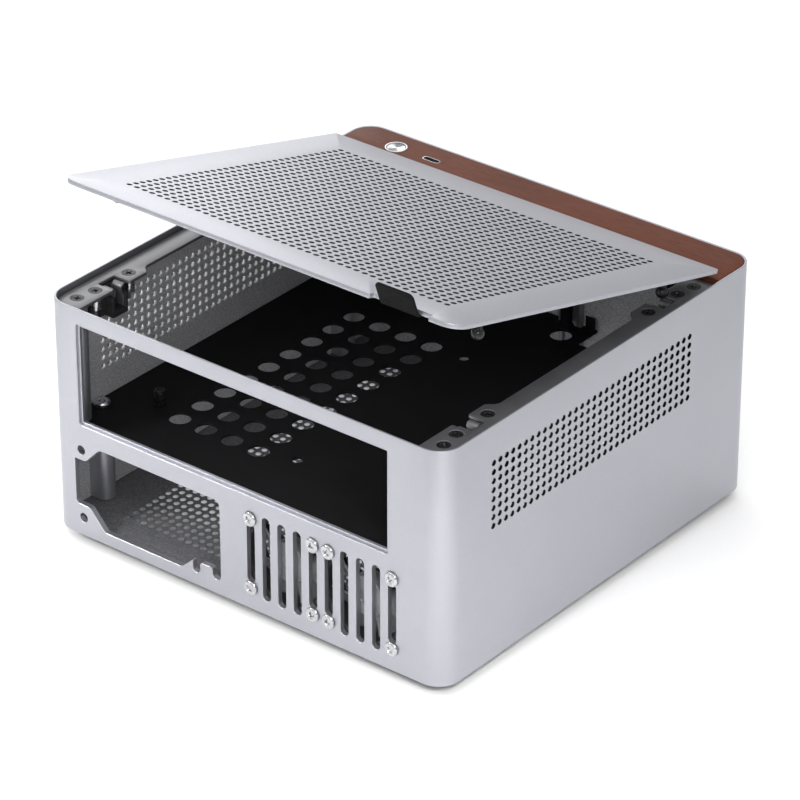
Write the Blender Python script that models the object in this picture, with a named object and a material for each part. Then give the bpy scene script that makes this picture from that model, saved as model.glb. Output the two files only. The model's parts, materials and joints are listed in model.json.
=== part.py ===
"""A compact desktop computer case: an extruded aluminium ring with a lid on ball catches, a wood trim strip
with a power button and a USB-C socket, a motherboard tray, and two small fans in the lower chamber.

Metres, +Z up, front at -Y, rear sockets at +Y. The origin is at the middle of the footprint, on the desk.
"""

import math

import bmesh
import bpy
from mathutils import Matrix, Vector

MM = 0.001
GAP = 0.3 * MM
OVER = 5 * MM  # how far a cutter runs past the wall it cuts

# Driving dimensions
WIDTH = 205 * MM
DEPTH = 206 * MM
SHELL_HEIGHT = 106 * MM
FOOT_DROP = 5 * MM
CORNER_RADIUS = 10 * MM
WALL = 2.5 * MM
RIM = 1.5 * MM
LEDGE_DEPTH = 4 * MM
TOP = FOOT_DROP + SHELL_HEIGHT
REAR = DEPTH / 2
INNER_SIDE = WIDTH / 2 - WALL
INNER_REAR = REAR - WALL

# Bottom plate and feet
BASE_RECESS = 1.8 * MM
BASE_THICKNESS = 2 * MM
BASE_LOW = FOOT_DROP + BASE_RECESS
BASE_TOP = BASE_LOW + BASE_THICKNESS
FOOT_RADIUS = 8 * MM
FOOT_X = 82.5 * MM
FOOT_Y = 89 * MM

# Motherboard tray, standoffs and the screws that hold the tray to the shell's bosses
TRAY_TOP = 52.5 * MM
TRAY_THICKNESS = 1 * MM
TRAY_LOW = TRAY_TOP - TRAY_THICKNESS
VENT_PITCH = 14.05 * MM
VENT_RADIUS = 4.85 * MM
VENT_COLUMNS = 4
VENT_ROWS = 9
VENT_FIRST = (21.0 * MM, 67.0 * MM)
STANDOFF_HEIGHT = 6.8 * MM
STANDOFF_SPAN_X = 157.48 * MM
STANDOFF_SPAN_Y = 132.08 * MM
STANDOFF_OFFSET_Y = 22.86 * MM
STANDOFF_FIRST = (77.0 * MM, 63.6 * MM)
BOSS_X = 95.6 * MM
BOSS_Y = 78.6 * MM
BOSS_RADIUS = 4.4 * MM
FRONT_RIB = (-18 * MM, -6 * MM, 2.3 * MM)

# Rear face: socket window, power supply opening and fan vents
WINDOW_WIDTH = 158.75 * MM
WINDOW_HEIGHT = 44.45 * MM
WINDOW_CENTRE = (5.39 * MM, 80.7 * MM)
WINDOW_LIP = 1.35 * MM
WINDOW_RECESS = 1.1 * MM
SUPPLY_SCREW_X = 85.4 * MM
SUPPLY_SCREW_Z = (13.5 * MM, 45.6 * MM)
FAN_SIZE = 40 * MM
FAN_HOLE_SPAN = 32 * MM
FAN_DEPTH = 10 * MM
FAN_Z = 31.2 * MM
FAN_X = (-21 * MM, -61 * MM)
SLOT_PITCH = 8 * MM
SLOT_WIDTH = 4.35 * MM
LONG_SLOT = (11.5 * MM, 50.3 * MM)
SHORT_SLOT = (18.9 * MM, 43.4 * MM)

# Lid, its ball catches and the rails that carry them
LID_THICKNESS = 2 * MM
LID_HALF_WIDTH = 100.3 * MM
LID_FRONT = -77.2 * MM
LID_REAR = 101.1 * MM
LID_TILT = math.radians(15.15)
LID_PIVOT = Vector((0, -94.07 * MM, 105.97 * MM))
LID_NOTCH = (-72.6 * MM, 28.4 * MM, 3.2 * MM)
TAB_X = -72.1 * MM
TAB_WIDTH = 19.4 * MM
RAIL_TOP = 108.7 * MM
RAIL_THICKNESS = 1.4 * MM
RAIL_LOW = RAIL_TOP - RAIL_THICKNESS
RAIL_MIDDLE = 10.8 * MM
RAIL_SCREWS = ((94 * MM, 81.7 * MM), (92.6 * MM, 72.4 * MM), (92.4 * MM, 52.5 * MM))
CLIP_X = 91.4 * MM
CLIP_OFFSET_Y = 62.8 * MM
BALL_RADIUS = 2.7 * MM
BALL_DROP = 9.2 * MM

# Wood trim, power button and USB-C socket
TRIM_FRONT = -REAR + RIM + GAP
TRIM_REAR = -77.9 * MM
TRIM_THICKNESS = 3.7 * MM
CONTROL_Y = -91 * MM
BUTTON_X = 76.6 * MM
SOCKET_X = 57.4 * MM
BRACKET_TOP = 97.7 * MM
BOARD_TOP = 99.2 * MM

UPRIGHT = Matrix.Identity(4)
ALONG_Y = Matrix(((1, 0, 0, 0), (0, 0, 1, 0), (0, 1, 0, 0), (0, 0, 0, 1)))
ALONG_X = Matrix(((0, 0, 1, 0), (1, 0, 0, 0), (0, 1, 0, 0), (0, 0, 0, 1)))


def clear_scene():
    for item in list(bpy.data.objects):
        bpy.data.objects.remove(item, do_unlink=True)


def finish(name, colour, roughness, metallic):
    """The Principled material of that name, made once."""
    found = bpy.data.materials.get(name)
    if found:
        return found
    made = bpy.data.materials.new(name)
    made.use_nodes = True
    shader = made.node_tree.nodes["Principled BSDF"]
    shader.inputs["Base Color"].default_value = (*colour, 1)
    shader.inputs["Roughness"].default_value = roughness
    shader.inputs["Metallic"].default_value = metallic
    made.diffuse_color = (*colour, 1)
    return made


def silver():
    return finish("anodised_silver", (0.72, 0.73, 0.77), 0.4, 0.9)


def black_steel():
    return finish("black_steel", (0.02, 0.02, 0.022), 0.5, 0.6)


def graphite_steel():
    return finish("graphite_steel", (0.1, 0.1, 0.105), 0.4, 0.7)


def black_plastic():
    return finish("black_plastic", (0.02, 0.02, 0.02), 0.45, 0)


def bright_steel():
    return finish("bright_steel", (0.62, 0.62, 0.64), 0.25, 1)


def place(name, mesh, material, smooth=False):
    """A scene object from a finished bmesh."""
    bmesh.ops.recalc_face_normals(mesh, faces=mesh.faces)
    data = bpy.data.meshes.new(name)
    mesh.to_mesh(data)
    mesh.free()
    data.materials.append(material)
    if smooth:
        data.shade_smooth()
        data.set_sharp_from_angle(angle=math.radians(40))
    made = bpy.data.objects.new(name, data)
    bpy.context.scene.collection.objects.link(made)
    return made


def circle(x, y, radius, steps=16):
    """Outline of a round hole or pin."""
    turns = [2 * math.pi * step / steps for step in range(steps)]
    return [(x + radius * math.cos(turn), y + radius * math.sin(turn)) for turn in turns]


def filleted(corners, steps=5):
    """Outline through corners given as (x, y, radius), each radius turned into an arc."""
    outline = []
    for index, (x, y, radius) in enumerate(corners):
        corner = Vector((x, y))
        if radius == 0:
            outline.append((x, y))
            continue
        before = (Vector(corners[index - 1][:2]) - corner).normalized()
        after = (Vector(corners[(index + 1) % len(corners)][:2]) - corner).normalized()
        half_angle = before.angle(after) / 2
        centre = corner + (before + after).normalized() * (radius / math.sin(half_angle))
        reach = radius / math.tan(half_angle)
        first = corner + before * reach - centre
        last = corner + after * reach - centre
        start = math.atan2(first.y, first.x)
        sweep = (math.atan2(last.y, last.x) - start + math.pi) % (2 * math.pi) - math.pi
        for step in range(steps + 1):
            turn = start + sweep * step / steps
            outline.append((centre.x + radius * math.cos(turn), centre.y + radius * math.sin(turn)))
    return outline


def rounded_box(left, right, low, high, radius, steps=5):
    """Outline of a rectangle with four equal corners."""
    corners = ((left, low, radius), (right, low, radius), (right, high, radius), (left, high, radius))
    return filleted(corners, steps)


def centred_box(width, depth, radius, steps=5):
    return rounded_box(-width / 2, width / 2, -depth / 2, depth / 2, radius, steps)


def prisms(outlines, low, high, frame=UPRIGHT):
    """A bmesh of closed prisms: each outline lies in the frame's XY plane and is extruded along its Z."""
    mesh = bmesh.new()
    for outline in outlines:
        face = mesh.faces.new([mesh.verts.new((x, y, low)) for x, y in outline])
        extruded = bmesh.ops.extrude_face_region(mesh, geom=[face])["geom"]
        raised = [part for part in extruded if isinstance(part, bmesh.types.BMVert)]
        bmesh.ops.translate(mesh, verts=raised, vec=(0, 0, high - low))
    bmesh.ops.transform(mesh, matrix=frame, verts=mesh.verts)
    return mesh


def turned(profile, steps, frame=UPRIGHT):
    """A bmesh spun from a profile of (radius, height) points about the frame's Z axis."""
    mesh = bmesh.new()
    points = [mesh.verts.new((radius, 0, height)) for radius, height in profile]
    edges = [mesh.edges.new(pair) for pair in zip(points, points[1:] + points[:1])]
    whole = 2 * math.pi
    bmesh.ops.spin(
        mesh, geom=points + edges, cent=(0, 0, 0), axis=(0, 0, 1), angle=whole, steps=steps, use_merge=True
    )
    bmesh.ops.remove_doubles(mesh, verts=mesh.verts, dist=0.001 * MM)
    bmesh.ops.dissolve_degenerate(mesh, edges=mesh.edges, dist=0.001 * MM)
    bmesh.ops.transform(mesh, matrix=frame, verts=mesh.verts)
    return mesh


def helper(name, mesh):
    """A cutter or an added body: it stays in the file and isn't part of the case."""
    made = place(name, mesh, black_plastic())
    made.hide_render = True
    made.display_type = "WIRE"
    return made


def combine(target, mesh, operation):
    """Adds an exact Boolean between the object and the bmesh."""
    number = len(target.modifiers) + 1
    modifier = target.modifiers.new(f"{operation.lower()}_{number}", "BOOLEAN")
    modifier.operation = operation
    modifier.solver = "EXACT"
    modifier.object = helper(f"{target.name}_{operation.lower()}_{number}", mesh)
    modifier.object.parent = target.parent
    modifier.object.location = target.location
    return target


def cut(target, mesh):
    return combine(target, mesh, "DIFFERENCE")


def join(target, mesh):
    return combine(target, mesh, "UNION")


def at(x, y, z):
    return Matrix.Translation((x, y, z))


def boss_outline(x, y, towards, wall):
    """A half-round screw boss whose flat back runs into a side wall."""
    arc = []
    for step in range(9):
        turn = math.pi / 2 + math.pi * step / 8
        arc.append((x + towards * BOSS_RADIUS * math.cos(turn), y + BOSS_RADIUS * math.sin(turn)))
    return arc + [(wall, y - BOSS_RADIUS), (wall, y + BOSS_RADIUS)]


def supply_outline():
    """The power supply's stepped opening, with its two cable notches along the bottom."""
    return filleted(
        (
            (89.3 * MM, 19.4 * MM, 0),
            (89.3 * MM, 41 * MM, 0),
            (83.3 * MM, 41 * MM, 0),
            (75.5 * MM, 49.1 * MM, 0),
            (11 * MM, 49.1 * MM, 3 * MM),
            (11 * MM, 11.5 * MM, 2.2 * MM),
            (15.8 * MM, 11.5 * MM, 2.2 * MM),
            (15.8 * MM, 16.1 * MM, 1.2 * MM),
            (22.1 * MM, 16.1 * MM, 1.2 * MM),
            (22.1 * MM, 10.8 * MM, 1.8 * MM),
            (26.2 * MM, 10.8 * MM, 1.8 * MM),
            (26.2 * MM, 15.8 * MM, 0.6 * MM),
            (32.2 * MM, 10.4 * MM, 0),
            (73.7 * MM, 10.4 * MM, 0),
            (81.8 * MM, 19.4 * MM, 0),
        ),
        steps=4,
    )


def vent_slots():
    """Two groups of five vertical slots: the outer slots stop short of the fan screws."""
    outlines = []
    for fan_x in FAN_X:
        for step in range(-2, 3):
            x = fan_x + step * SLOT_PITCH
            low, high = SHORT_SLOT if abs(step) == 2 else LONG_SLOT
            half = SLOT_WIDTH / 2
            outlines.append(rounded_box(x - half, x + half, low, high, half * 0.98, 4))
    return outlines


def fan_screw_places():
    half = FAN_HOLE_SPAN / 2
    return [(x + dx, FAN_Z + dz) for x in FAN_X for dz in (half, -half) for dx in (half, -half)]


def build_shell():
    ring = prisms([centred_box(WIDTH, DEPTH, CORNER_RADIUS, 8)], FOOT_DROP, TOP)
    shell = place("shell", ring, silver(), True)
    cavity = centred_box(2 * INNER_SIDE, 2 * INNER_REAR, CORNER_RADIUS - WALL, 8)
    cut(shell, prisms([cavity], 0, TOP + OVER))
    side_bosses = [
        boss_outline(side * BOSS_X, end * BOSS_Y, side, side * (WIDTH / 2 - 1 * MM))
        for side in (1, -1)
        for end in (1, -1)
    ]
    join(shell, prisms(side_bosses, BASE_TOP + 2 * GAP, TRAY_LOW - GAP))
    left, right, reach = FRONT_RIB
    rib = rounded_box(left, right, -REAR + 1 * MM, -INNER_REAR + reach, 0.5 * MM, 2)
    join(shell, prisms([rib], BASE_TOP + 2 * GAP, BRACKET_TOP - 1.2 * MM - GAP))
    rabbet = centred_box(WIDTH - 2 * RIM, DEPTH - 2 * RIM, CORNER_RADIUS - RIM, 8)
    cut(shell, prisms([rabbet], TOP - LEDGE_DEPTH, TOP + OVER))
    cut(shell, prisms([rabbet], 0, BASE_TOP + GAP))
    screw_bores = [circle(side * BOSS_X, end * BOSS_Y, 1.9 * MM, 12) for side in (1, -1) for end in (1, -1)]
    cut(shell, prisms(screw_bores, TRAY_LOW - 14 * MM, TRAY_LOW + OVER))
    x, z = WINDOW_CENTRE
    half_x, half_z = WINDOW_WIDTH / 2, WINDOW_HEIGHT / 2
    aperture = rounded_box(x - half_x, x + half_x, z - half_z, z + half_z, 1 * MM, 3)
    through = (REAR - WALL - OVER, REAR + OVER)
    rear_cuts = [aperture, supply_outline()] + vent_slots()
    rear_cuts += [circle(*place_xz, 1.7 * MM, 12) for place_xz in fan_screw_places()]
    rear_cuts += [circle(SUPPLY_SCREW_X, screw_z, 2.15 * MM, 14) for screw_z in SUPPLY_SCREW_Z]
    cut(shell, prisms(rear_cuts, *through, ALONG_Y))
    lip_x, lip_z = half_x + WINDOW_LIP, half_z + WINDOW_LIP
    recess = rounded_box(x - lip_x, x + lip_x, z - lip_z, z + lip_z, 1 * MM, 3)
    cut(shell, prisms([recess], REAR - WINDOW_RECESS, REAR + OVER, ALONG_Y))


def build_base():
    plate = centred_box(WIDTH - 2 * RIM - 2 * GAP, DEPTH - 2 * RIM - 2 * GAP, CORNER_RADIUS - RIM - GAP, 8)
    place("base_plate", prisms([plate], BASE_LOW, BASE_TOP), black_steel())
    profile = (
        (0, 0),
        (FOOT_RADIUS - 1 * MM, 0),
        (FOOT_RADIUS, 1 * MM),
        (FOOT_RADIUS, BASE_LOW - GAP),
        (0, BASE_LOW - GAP),
    )
    rubber = finish("foot_rubber", (0.015, 0.015, 0.015), 0.7, 0)
    for end, y in (("rear", FOOT_Y), ("front", -FOOT_Y)):
        for side, x in (("left", -FOOT_X), ("right", FOOT_X)):
            place(f"foot_{end}_{side}", turned(profile, 24, at(x, y, 0)), rubber, True)


def tray_holes():
    first_x, first_y = VENT_FIRST
    holes = [
        circle(first_x + column * VENT_PITCH, first_y - row * VENT_PITCH, VENT_RADIUS, 14)
        for column in range(VENT_COLUMNS)
        for row in range(VENT_ROWS)
    ]
    holes += [circle(4 * MM, y, 2.3 * MM, 12) for y in (62.7 * MM, -46 * MM)]
    holes.append(circle(-15.6 * MM, -87.5 * MM, 5 * MM, 16))
    holes += [circle(side * BOSS_X, end * BOSS_Y, 1.9 * MM, 12) for side in (1, -1) for end in (1, -1)]
    holes.append(rounded_box(-60 * MM, -25.7 * MM, -110 * MM, -85.3 * MM, 1 * MM, 3))
    left, right, reach = FRONT_RIB
    rib_end = -INNER_REAR + reach + 2 * GAP
    holes.append(rounded_box(left - 2 * GAP, right + 2 * GAP, -110 * MM, rib_end, 0.5 * MM, 2))
    return holes


def build_tray():
    plate = centred_box(2 * (INNER_SIDE - GAP), 2 * (INNER_REAR - GAP), CORNER_RADIUS - WALL - GAP, 6)
    tray = place("motherboard_tray", prisms([plate], TRAY_LOW, TRAY_TOP), black_steel())
    cut(tray, prisms(tray_holes(), TRAY_LOW - OVER, TRAY_TOP + OVER))
    x, y = STANDOFF_FIRST
    places = (
        (x, y),
        (x - STANDOFF_SPAN_X, y + STANDOFF_OFFSET_Y),
        (x, y - STANDOFF_SPAN_Y),
        (x - STANDOFF_SPAN_X, y - STANDOFF_SPAN_Y),
    )
    low = TRAY_TOP + GAP
    for number, (x, y) in enumerate(places, 1):
        body = prisms([circle(x, y, 2.6 * MM, 6)], low, low + STANDOFF_HEIGHT)
        standoff = place(f"standoff_{number}", body, black_steel())
        cut(standoff, prisms([circle(x, y, 1.3 * MM, 10)], low + 1 * MM, low + STANDOFF_HEIGHT + OVER))
    profile = (
        (0, -8 * MM),
        (1.5 * MM, -8 * MM),
        (1.5 * MM, 0),
        (3.7 * MM, 0),
        (3.7 * MM, 0.7 * MM),
        (2.6 * MM, 1.9 * MM),
        (0, 2.2 * MM),
    )
    for end, y in (("rear", BOSS_Y), ("front", -BOSS_Y)):
        for side, x in (("left", -BOSS_X), ("right", BOSS_X)):
            place(f"tray_screw_{end}_{side}", turned(profile, 16, at(x, y, low)), bright_steel(), True)


def rail_outline(side):
    """A narrow bar with a wide tab at each end, and a notch in each tab for the ball catch."""
    wall = WIDTH / 2 - RIM - GAP
    rear_end = REAR - RIM - GAP
    front_end = TRIM_REAR + 0.5 * MM
    bar, tab, root = 91 * MM, 87 * MM, 95.5 * MM
    half_notch = 4.9 * MM
    notches = (RAIL_MIDDLE + CLIP_OFFSET_Y, RAIL_MIDDLE - CLIP_OFFSET_Y)
    tab_end, bar_start = 47.4 * MM, 44.2 * MM
    corners = [(wall, front_end, 0), (wall, rear_end, CORNER_RADIUS - RIM - GAP), (tab, rear_end, 0)]
    corners += [(tab, notches[0] + half_notch, 0.8 * MM), (root, notches[0] + half_notch, 0.8 * MM)]
    corners += [(root, notches[0] - half_notch, 0.8 * MM), (tab, notches[0] - half_notch, 0.8 * MM)]
    corners += [(tab, RAIL_MIDDLE + tab_end, 1 * MM), (bar, RAIL_MIDDLE + bar_start, 2 * MM)]
    corners += [(bar, RAIL_MIDDLE - bar_start, 2 * MM), (tab, RAIL_MIDDLE - tab_end, 1 * MM)]
    corners += [(tab, notches[1] + half_notch, 0.8 * MM), (root, notches[1] + half_notch, 0.8 * MM)]
    corners += [(root, notches[1] - half_notch, 0.8 * MM), (tab, notches[1] - half_notch, 0.8 * MM)]
    corners += [(tab, front_end, 0)]
    return [(side * x, y) for x, y in filleted(corners, 4)]


def rail_screw_places(side):
    """Three screws at each end, mirrored about the rail's middle."""
    rear = [(side * x, RAIL_MIDDLE + y) for x, y in RAIL_SCREWS]
    return rear + [(x, 2 * RAIL_MIDDLE - y) for x, y in rear]


def build_rails():
    countersink = (
        (0, -20 * MM),
        (1.7 * MM, -20 * MM),
        (1.7 * MM, -1.3 * MM),
        (3.3 * MM, 0),
        (3.3 * MM, 1 * MM),
        (0, 1 * MM),
    )
    screw = (
        (0, -9 * MM),
        (1.35 * MM, -9 * MM),
        (1.35 * MM, -1.5 * MM),
        (2.9 * MM, -0.1 * MM),
        (0, -0.1 * MM),
    )
    for side_name, side in (("left", -1), ("right", 1)):
        rail = place(f"rail_{side_name}", prisms([rail_outline(side)], RAIL_LOW, RAIL_TOP), graphite_steel())
        posts = [circle(x, y, 2.4 * MM, 12) for x, y in rail_screw_places(side) if abs(x) < 93 * MM]
        join(rail, prisms(posts, RAIL_LOW - 7 * MM, RAIL_LOW + 0.5 * MM))
        for number, (x, y) in enumerate(rail_screw_places(side), 1):
            cut(rail, turned(countersink, 12, at(x, y, RAIL_TOP)))
            body = turned(screw, 12, at(x, y, RAIL_TOP))
            place(f"rail_screw_{side_name}_{number}", body, black_steel(), True)


def build_clips():
    """Four open-topped ball catches: two cheeks and a floor, on a back plate that hangs below the rail."""
    half, cheek, floor = 4.5 * MM, 1.35 * MM, 2.4 * MM
    low, high = 95 * MM, RAIL_TOP - GAP
    channel = [
        (-half, low),
        (half, low),
        (half, high),
        (half - cheek, high),
        (half - cheek, low + floor),
        (-half + cheek, low + floor),
        (-half + cheek, high),
        (-half, high),
    ]
    for end, end_name in ((1, "rear"), (-1, "front")):
        y = RAIL_MIDDLE + end * CLIP_OFFSET_Y
        outline = [(y + along, z) for along, z in channel]
        for side, side_name in ((-1, "left"), (1, "right")):
            inner, outer = sorted((side * 87.8 * MM, side * 95.2 * MM))
            body = prisms([outline], inner, outer, ALONG_X)
            clip = place(f"ball_catch_{end_name}_{side_name}", body, black_plastic())
            inner, outer = sorted((side * 94.6 * MM, side * 98.6 * MM))
            plate = rounded_box(y - 12 * MM, y + 12 * MM, low, RAIL_LOW - GAP, 1 * MM, 2)
            join(clip, prisms([plate], inner, outer, ALONG_X))
            clearance = [circle(side * x, post_y, 2.8 * MM, 12) for x, post_y in clip_clearances(end)]
            cut(clip, prisms(clearance, low - OVER, RAIL_TOP))


def clip_clearances(end):
    """Where the rail's screws and posts pass a catch's back plate."""
    places = rail_screw_places(1)
    return places[:3] if end > 0 else places[3:]


def build_lid():
    """The lid and what rides on it, made shut and then turned about the hinge line to the tilted place."""
    hinge = bpy.data.objects.new("lid_hinge", None)
    bpy.context.scene.collection.objects.link(hinge)
    hinge.location = LID_PIVOT
    hinge.rotation_euler = (LID_TILT, 0, 0)
    corners = (
        (-LID_HALF_WIDTH, LID_FRONT, 1 * MM),
        (LID_HALF_WIDTH, LID_FRONT, 1 * MM),
        (LID_HALF_WIDTH, LID_REAR, 8 * MM),
        (-LID_HALF_WIDTH, LID_REAR, 8 * MM),
    )
    lid = place("lid_panel", prisms([filleted(corners, 6)], TOP - LID_THICKNESS, TOP), silver())
    hang(lid, hinge)
    notch_x, notch_width, notch_depth = LID_NOTCH
    left, right = notch_x - notch_width / 2, notch_x + notch_width / 2
    notch = rounded_box(left, right, LID_REAR - notch_depth, LID_REAR + OVER, 0.8 * MM, 3)
    cut(lid, prisms([notch], TOP - OVER, TOP + OVER))
    build_ball_studs(hinge)
    build_pull_tab(hinge)


def hang(item, hinge):
    """Parents an object made in place to the hinge, so that it turns with the lid."""
    item.parent = hinge
    item.location = -LID_PIVOT


def build_ball_studs(hinge):
    neck, foot_radius = 1.3 * MM, 2.6 * MM
    ball = -BALL_DROP
    top = -LID_THICKNESS - GAP
    profile = [(0, ball - BALL_RADIUS)]
    for step in range(1, 7):
        turn = -math.pi / 2 + step * math.pi / 7.5
        profile.append((BALL_RADIUS * math.cos(turn), ball + BALL_RADIUS * math.sin(turn)))
    profile += [(neck, ball + 3 * MM), (neck, top - 1 * MM)]
    profile += [(foot_radius, top - 1 * MM), (foot_radius, top), (0, top)]
    for end, end_name in ((1, "rear"), (-1, "front")):
        for side, side_name in ((-1, "left"), (1, "right")):
            spot = at(side * CLIP_X, RAIL_MIDDLE + end * CLIP_OFFSET_Y, TOP)
            body = turned(profile, 16, spot)
            hang(place(f"ball_stud_{end_name}_{side_name}", body, black_plastic(), True), hinge)


def build_pull_tab(hinge):
    """A strap fixed under the lid that comes up through the notch and leans to the rear."""
    thickness = 1 * MM
    under = TOP - LID_THICKNESS - GAP
    lean = math.radians(35)
    stand_y = LID_REAR - 1.9 * MM
    length = 9.6 * MM
    foot = Vector((stand_y, TOP - 0.6 * MM))
    along = Vector((math.sin(lean), math.cos(lean)))
    aside = Vector((math.cos(lean), -math.sin(lean))) * thickness
    tip = foot + along * length
    section = [
        (stand_y - 12 * MM, under),
        (stand_y - 12 * MM, under - thickness),
        (stand_y + thickness, under - thickness),
        tuple(foot + aside),
        tuple(tip + aside),
        tuple(tip),
        tuple(foot),
        (stand_y, under),
    ]
    left, right = TAB_X - TAB_WIDTH / 2, TAB_X + TAB_WIDTH / 2
    leather = finish("black_leather", (0.03, 0.03, 0.032), 0.6, 0)
    tab = place("pull_tab", prisms([section], left, right, ALONG_X), leather)
    hang(tab, hinge)


def build_front_controls():
    wood = finish("walnut", (0.22, 0.085, 0.05), 0.5, 0)
    half_width = WIDTH / 2 - RIM - GAP
    corner = CORNER_RADIUS - RIM - GAP
    corners = (
        (-half_width, TRIM_REAR, 0.4 * MM),
        (-half_width, TRIM_FRONT, corner),
        (half_width, TRIM_FRONT, corner),
        (half_width, TRIM_REAR, 0.4 * MM),
    )
    trim = place("wood_trim", prisms([filleted(corners, 6)], TOP - TRIM_THICKNESS, TOP), wood)
    openings = [circle(BUTTON_X, CONTROL_Y, 5.3 * MM, 24), socket_outline(4.8 * MM, 2 * MM, 1.9 * MM)]
    cut(trim, prisms(openings, TOP - TRIM_THICKNESS - OVER, TOP + OVER))
    plate = rounded_box(-97 * MM, 97 * MM, -98.5 * MM, -80 * MM, 4 * MM, 4)
    bracket = place("front_bracket", prisms([plate], BRACKET_TOP - 1.2 * MM, BRACKET_TOP), black_steel())
    legs = [circle(x, -94 * MM, 2.6 * MM, 12) for x in (-13.5 * MM, 38 * MM)]
    join(bracket, prisms(legs, TRAY_TOP + GAP, BRACKET_TOP - 0.5 * MM))
    board = rounded_box(48 * MM, 86 * MM, -98 * MM, -83 * MM, 1 * MM, 2)
    green = finish("circuit_board", (0.01, 0.03, 0.02), 0.4, 0)
    place("front_io_board", prisms([board], BRACKET_TOP + GAP, BOARD_TOP), green)
    build_power_button()
    build_usb_socket()


def build_power_button():
    """A bezel and a sprung cap over a push switch. The cap's flange keeps it under the bezel."""
    spot = at(BUTTON_X, CONTROL_Y, 0)
    bezel_low, bezel_high = TOP - 5 * MM, TOP + 0.2 * MM
    bezel = (
        (4.2 * MM, bezel_low),
        (5 * MM, bezel_low),
        (5 * MM, bezel_high - 0.2 * MM),
        (4.8 * MM, bezel_high),
        (4.4 * MM, bezel_high),
        (4.2 * MM, bezel_high - 0.2 * MM),
    )
    place("button_bezel", turned(bezel, 28, spot), bright_steel(), True)
    roof, flange_low, flange_high = TOP - 2 * MM, bezel_low - 1.3 * MM, bezel_low - 0.4 * MM
    stem_low = TOP - 7 * MM
    cap = (
        (0, stem_low),
        (1.5 * MM, stem_low),
        (1.5 * MM, roof),
        (3 * MM, roof),
        (3 * MM, flange_low),
        (4.8 * MM, flange_low),
        (4.8 * MM, flange_high),
        (3.9 * MM, flange_high),
        (3.9 * MM, TOP - 0.2 * MM),
        (3.7 * MM, TOP),
        (0, TOP - 0.25 * MM),
    )
    made = place("button_cap", turned(cap, 24), silver(), True)
    made.location = (BUTTON_X, CONTROL_Y, 0)
    low = BOARD_TOP + GAP
    side = 3 * MM
    x, y = BUTTON_X, CONTROL_Y
    body = rounded_box(x - side, x + side, y - side, y + side, 0.6 * MM, 2)
    switch = place("button_switch", prisms([body], low, low + 3 * MM), black_plastic())
    join(switch, prisms([circle(x, y, 1.2 * MM, 12)], low + 2 * MM, low + 3.4 * MM))
    build_button_spring(low + 3 * MM + GAP, roof - GAP)


def build_button_spring(low, high):
    """A round wire swept along a helix, with filled ends."""
    turns, steps_per_turn, coil_radius, wire = 4, 12, 2.2 * MM, 0.22 * MM
    curve = bpy.data.curves.new("button_spring", "CURVE")
    curve.dimensions = "3D"
    curve.bevel_depth = wire
    curve.bevel_resolution = 0
    curve.use_fill_caps = True
    steps = turns * steps_per_turn
    spline = curve.splines.new("POLY")
    spline.points.add(steps)
    for step in range(steps + 1):
        turn = 2 * math.pi * step / steps_per_turn
        height = low + wire + (high - low - 2 * wire) * step / steps
        x = BUTTON_X + coil_radius * math.cos(turn)
        y = CONTROL_Y + coil_radius * math.sin(turn)
        spline.points[step].co = (x, y, height, 1)
    curve.materials.append(bright_steel())
    bpy.context.scene.collection.objects.link(bpy.data.objects.new("button_spring", curve))


def build_usb_socket():
    half_x, half_y, wall = 4.47 * MM, 1.63 * MM, 0.35 * MM
    low = BOARD_TOP + GAP
    outer = socket_outline(half_x, half_y, 1.6 * MM)
    shell = place("usb_c_shell", prisms([outer], low, TOP), bright_steel(), True)
    inner = socket_outline(half_x - wall, half_y - wall, 1.25 * MM)
    cut(shell, prisms([inner], low - OVER, TOP + OVER))
    tongue = socket_outline(3.3 * MM, 0.35 * MM, 0.1 * MM)
    place("usb_c_tongue", prisms([tongue], low, TOP - 1.6 * MM), black_plastic())


def socket_outline(half_x, half_y, radius):
    return rounded_box(
        SOCKET_X - half_x, SOCKET_X + half_x, CONTROL_Y - half_y, CONTROL_Y + half_y, radius, 4
    )


def build_fans():
    """Two axial fans behind the slots: a square frame with a hub on four struts, and a rotor on the hub."""
    outside = INNER_REAR - GAP
    inside = outside - FAN_DEPTH
    strut_depth = 2 * MM
    for letter, x in zip("ab", FAN_X):
        half = FAN_SIZE / 2 - 0.1 * MM
        square = rounded_box(x - half, x + half, FAN_Z - half, FAN_Z + half, 2.5 * MM, 3)
        frame = place(f"fan_frame_{letter}", prisms([square], inside, outside, ALONG_Y), black_plastic())
        cut(frame, prisms([circle(x, FAN_Z, 18.9 * MM, 32)], inside - OVER, outside + OVER, ALONG_Y))
        join(frame, prisms([circle(x, FAN_Z, 8.5 * MM, 20)], inside, inside + strut_depth, ALONG_Y))
        struts = []
        for quarter in range(4):
            turn = math.radians(20 + 90 * quarter)
            out = Vector((math.cos(turn), math.sin(turn)))
            wide = Vector((-out.y, out.x)) * 1 * MM
            middle = Vector((x, FAN_Z))
            ends = (out * 7 * MM + wide, out * 7 * MM - wide, out * 19.4 * MM - wide, out * 19.4 * MM + wide)
            struts.append([tuple(middle + end) for end in ends])
        join(frame, prisms(struts, inside, inside + strut_depth, ALONG_Y))
        corner = FAN_HOLE_SPAN / 2
        signs = ((1, 1), (1, -1), (-1, 1), (-1, -1))
        bores = [circle(x + across * corner, FAN_Z + up * corner, 1.8 * MM, 12) for across, up in signs]
        cut(frame, prisms(bores, inside - OVER, outside + OVER, ALONG_Y))
        build_rotor(letter, x, inside + strut_depth + 0.4 * MM, outside - 0.6 * MM)


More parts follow.
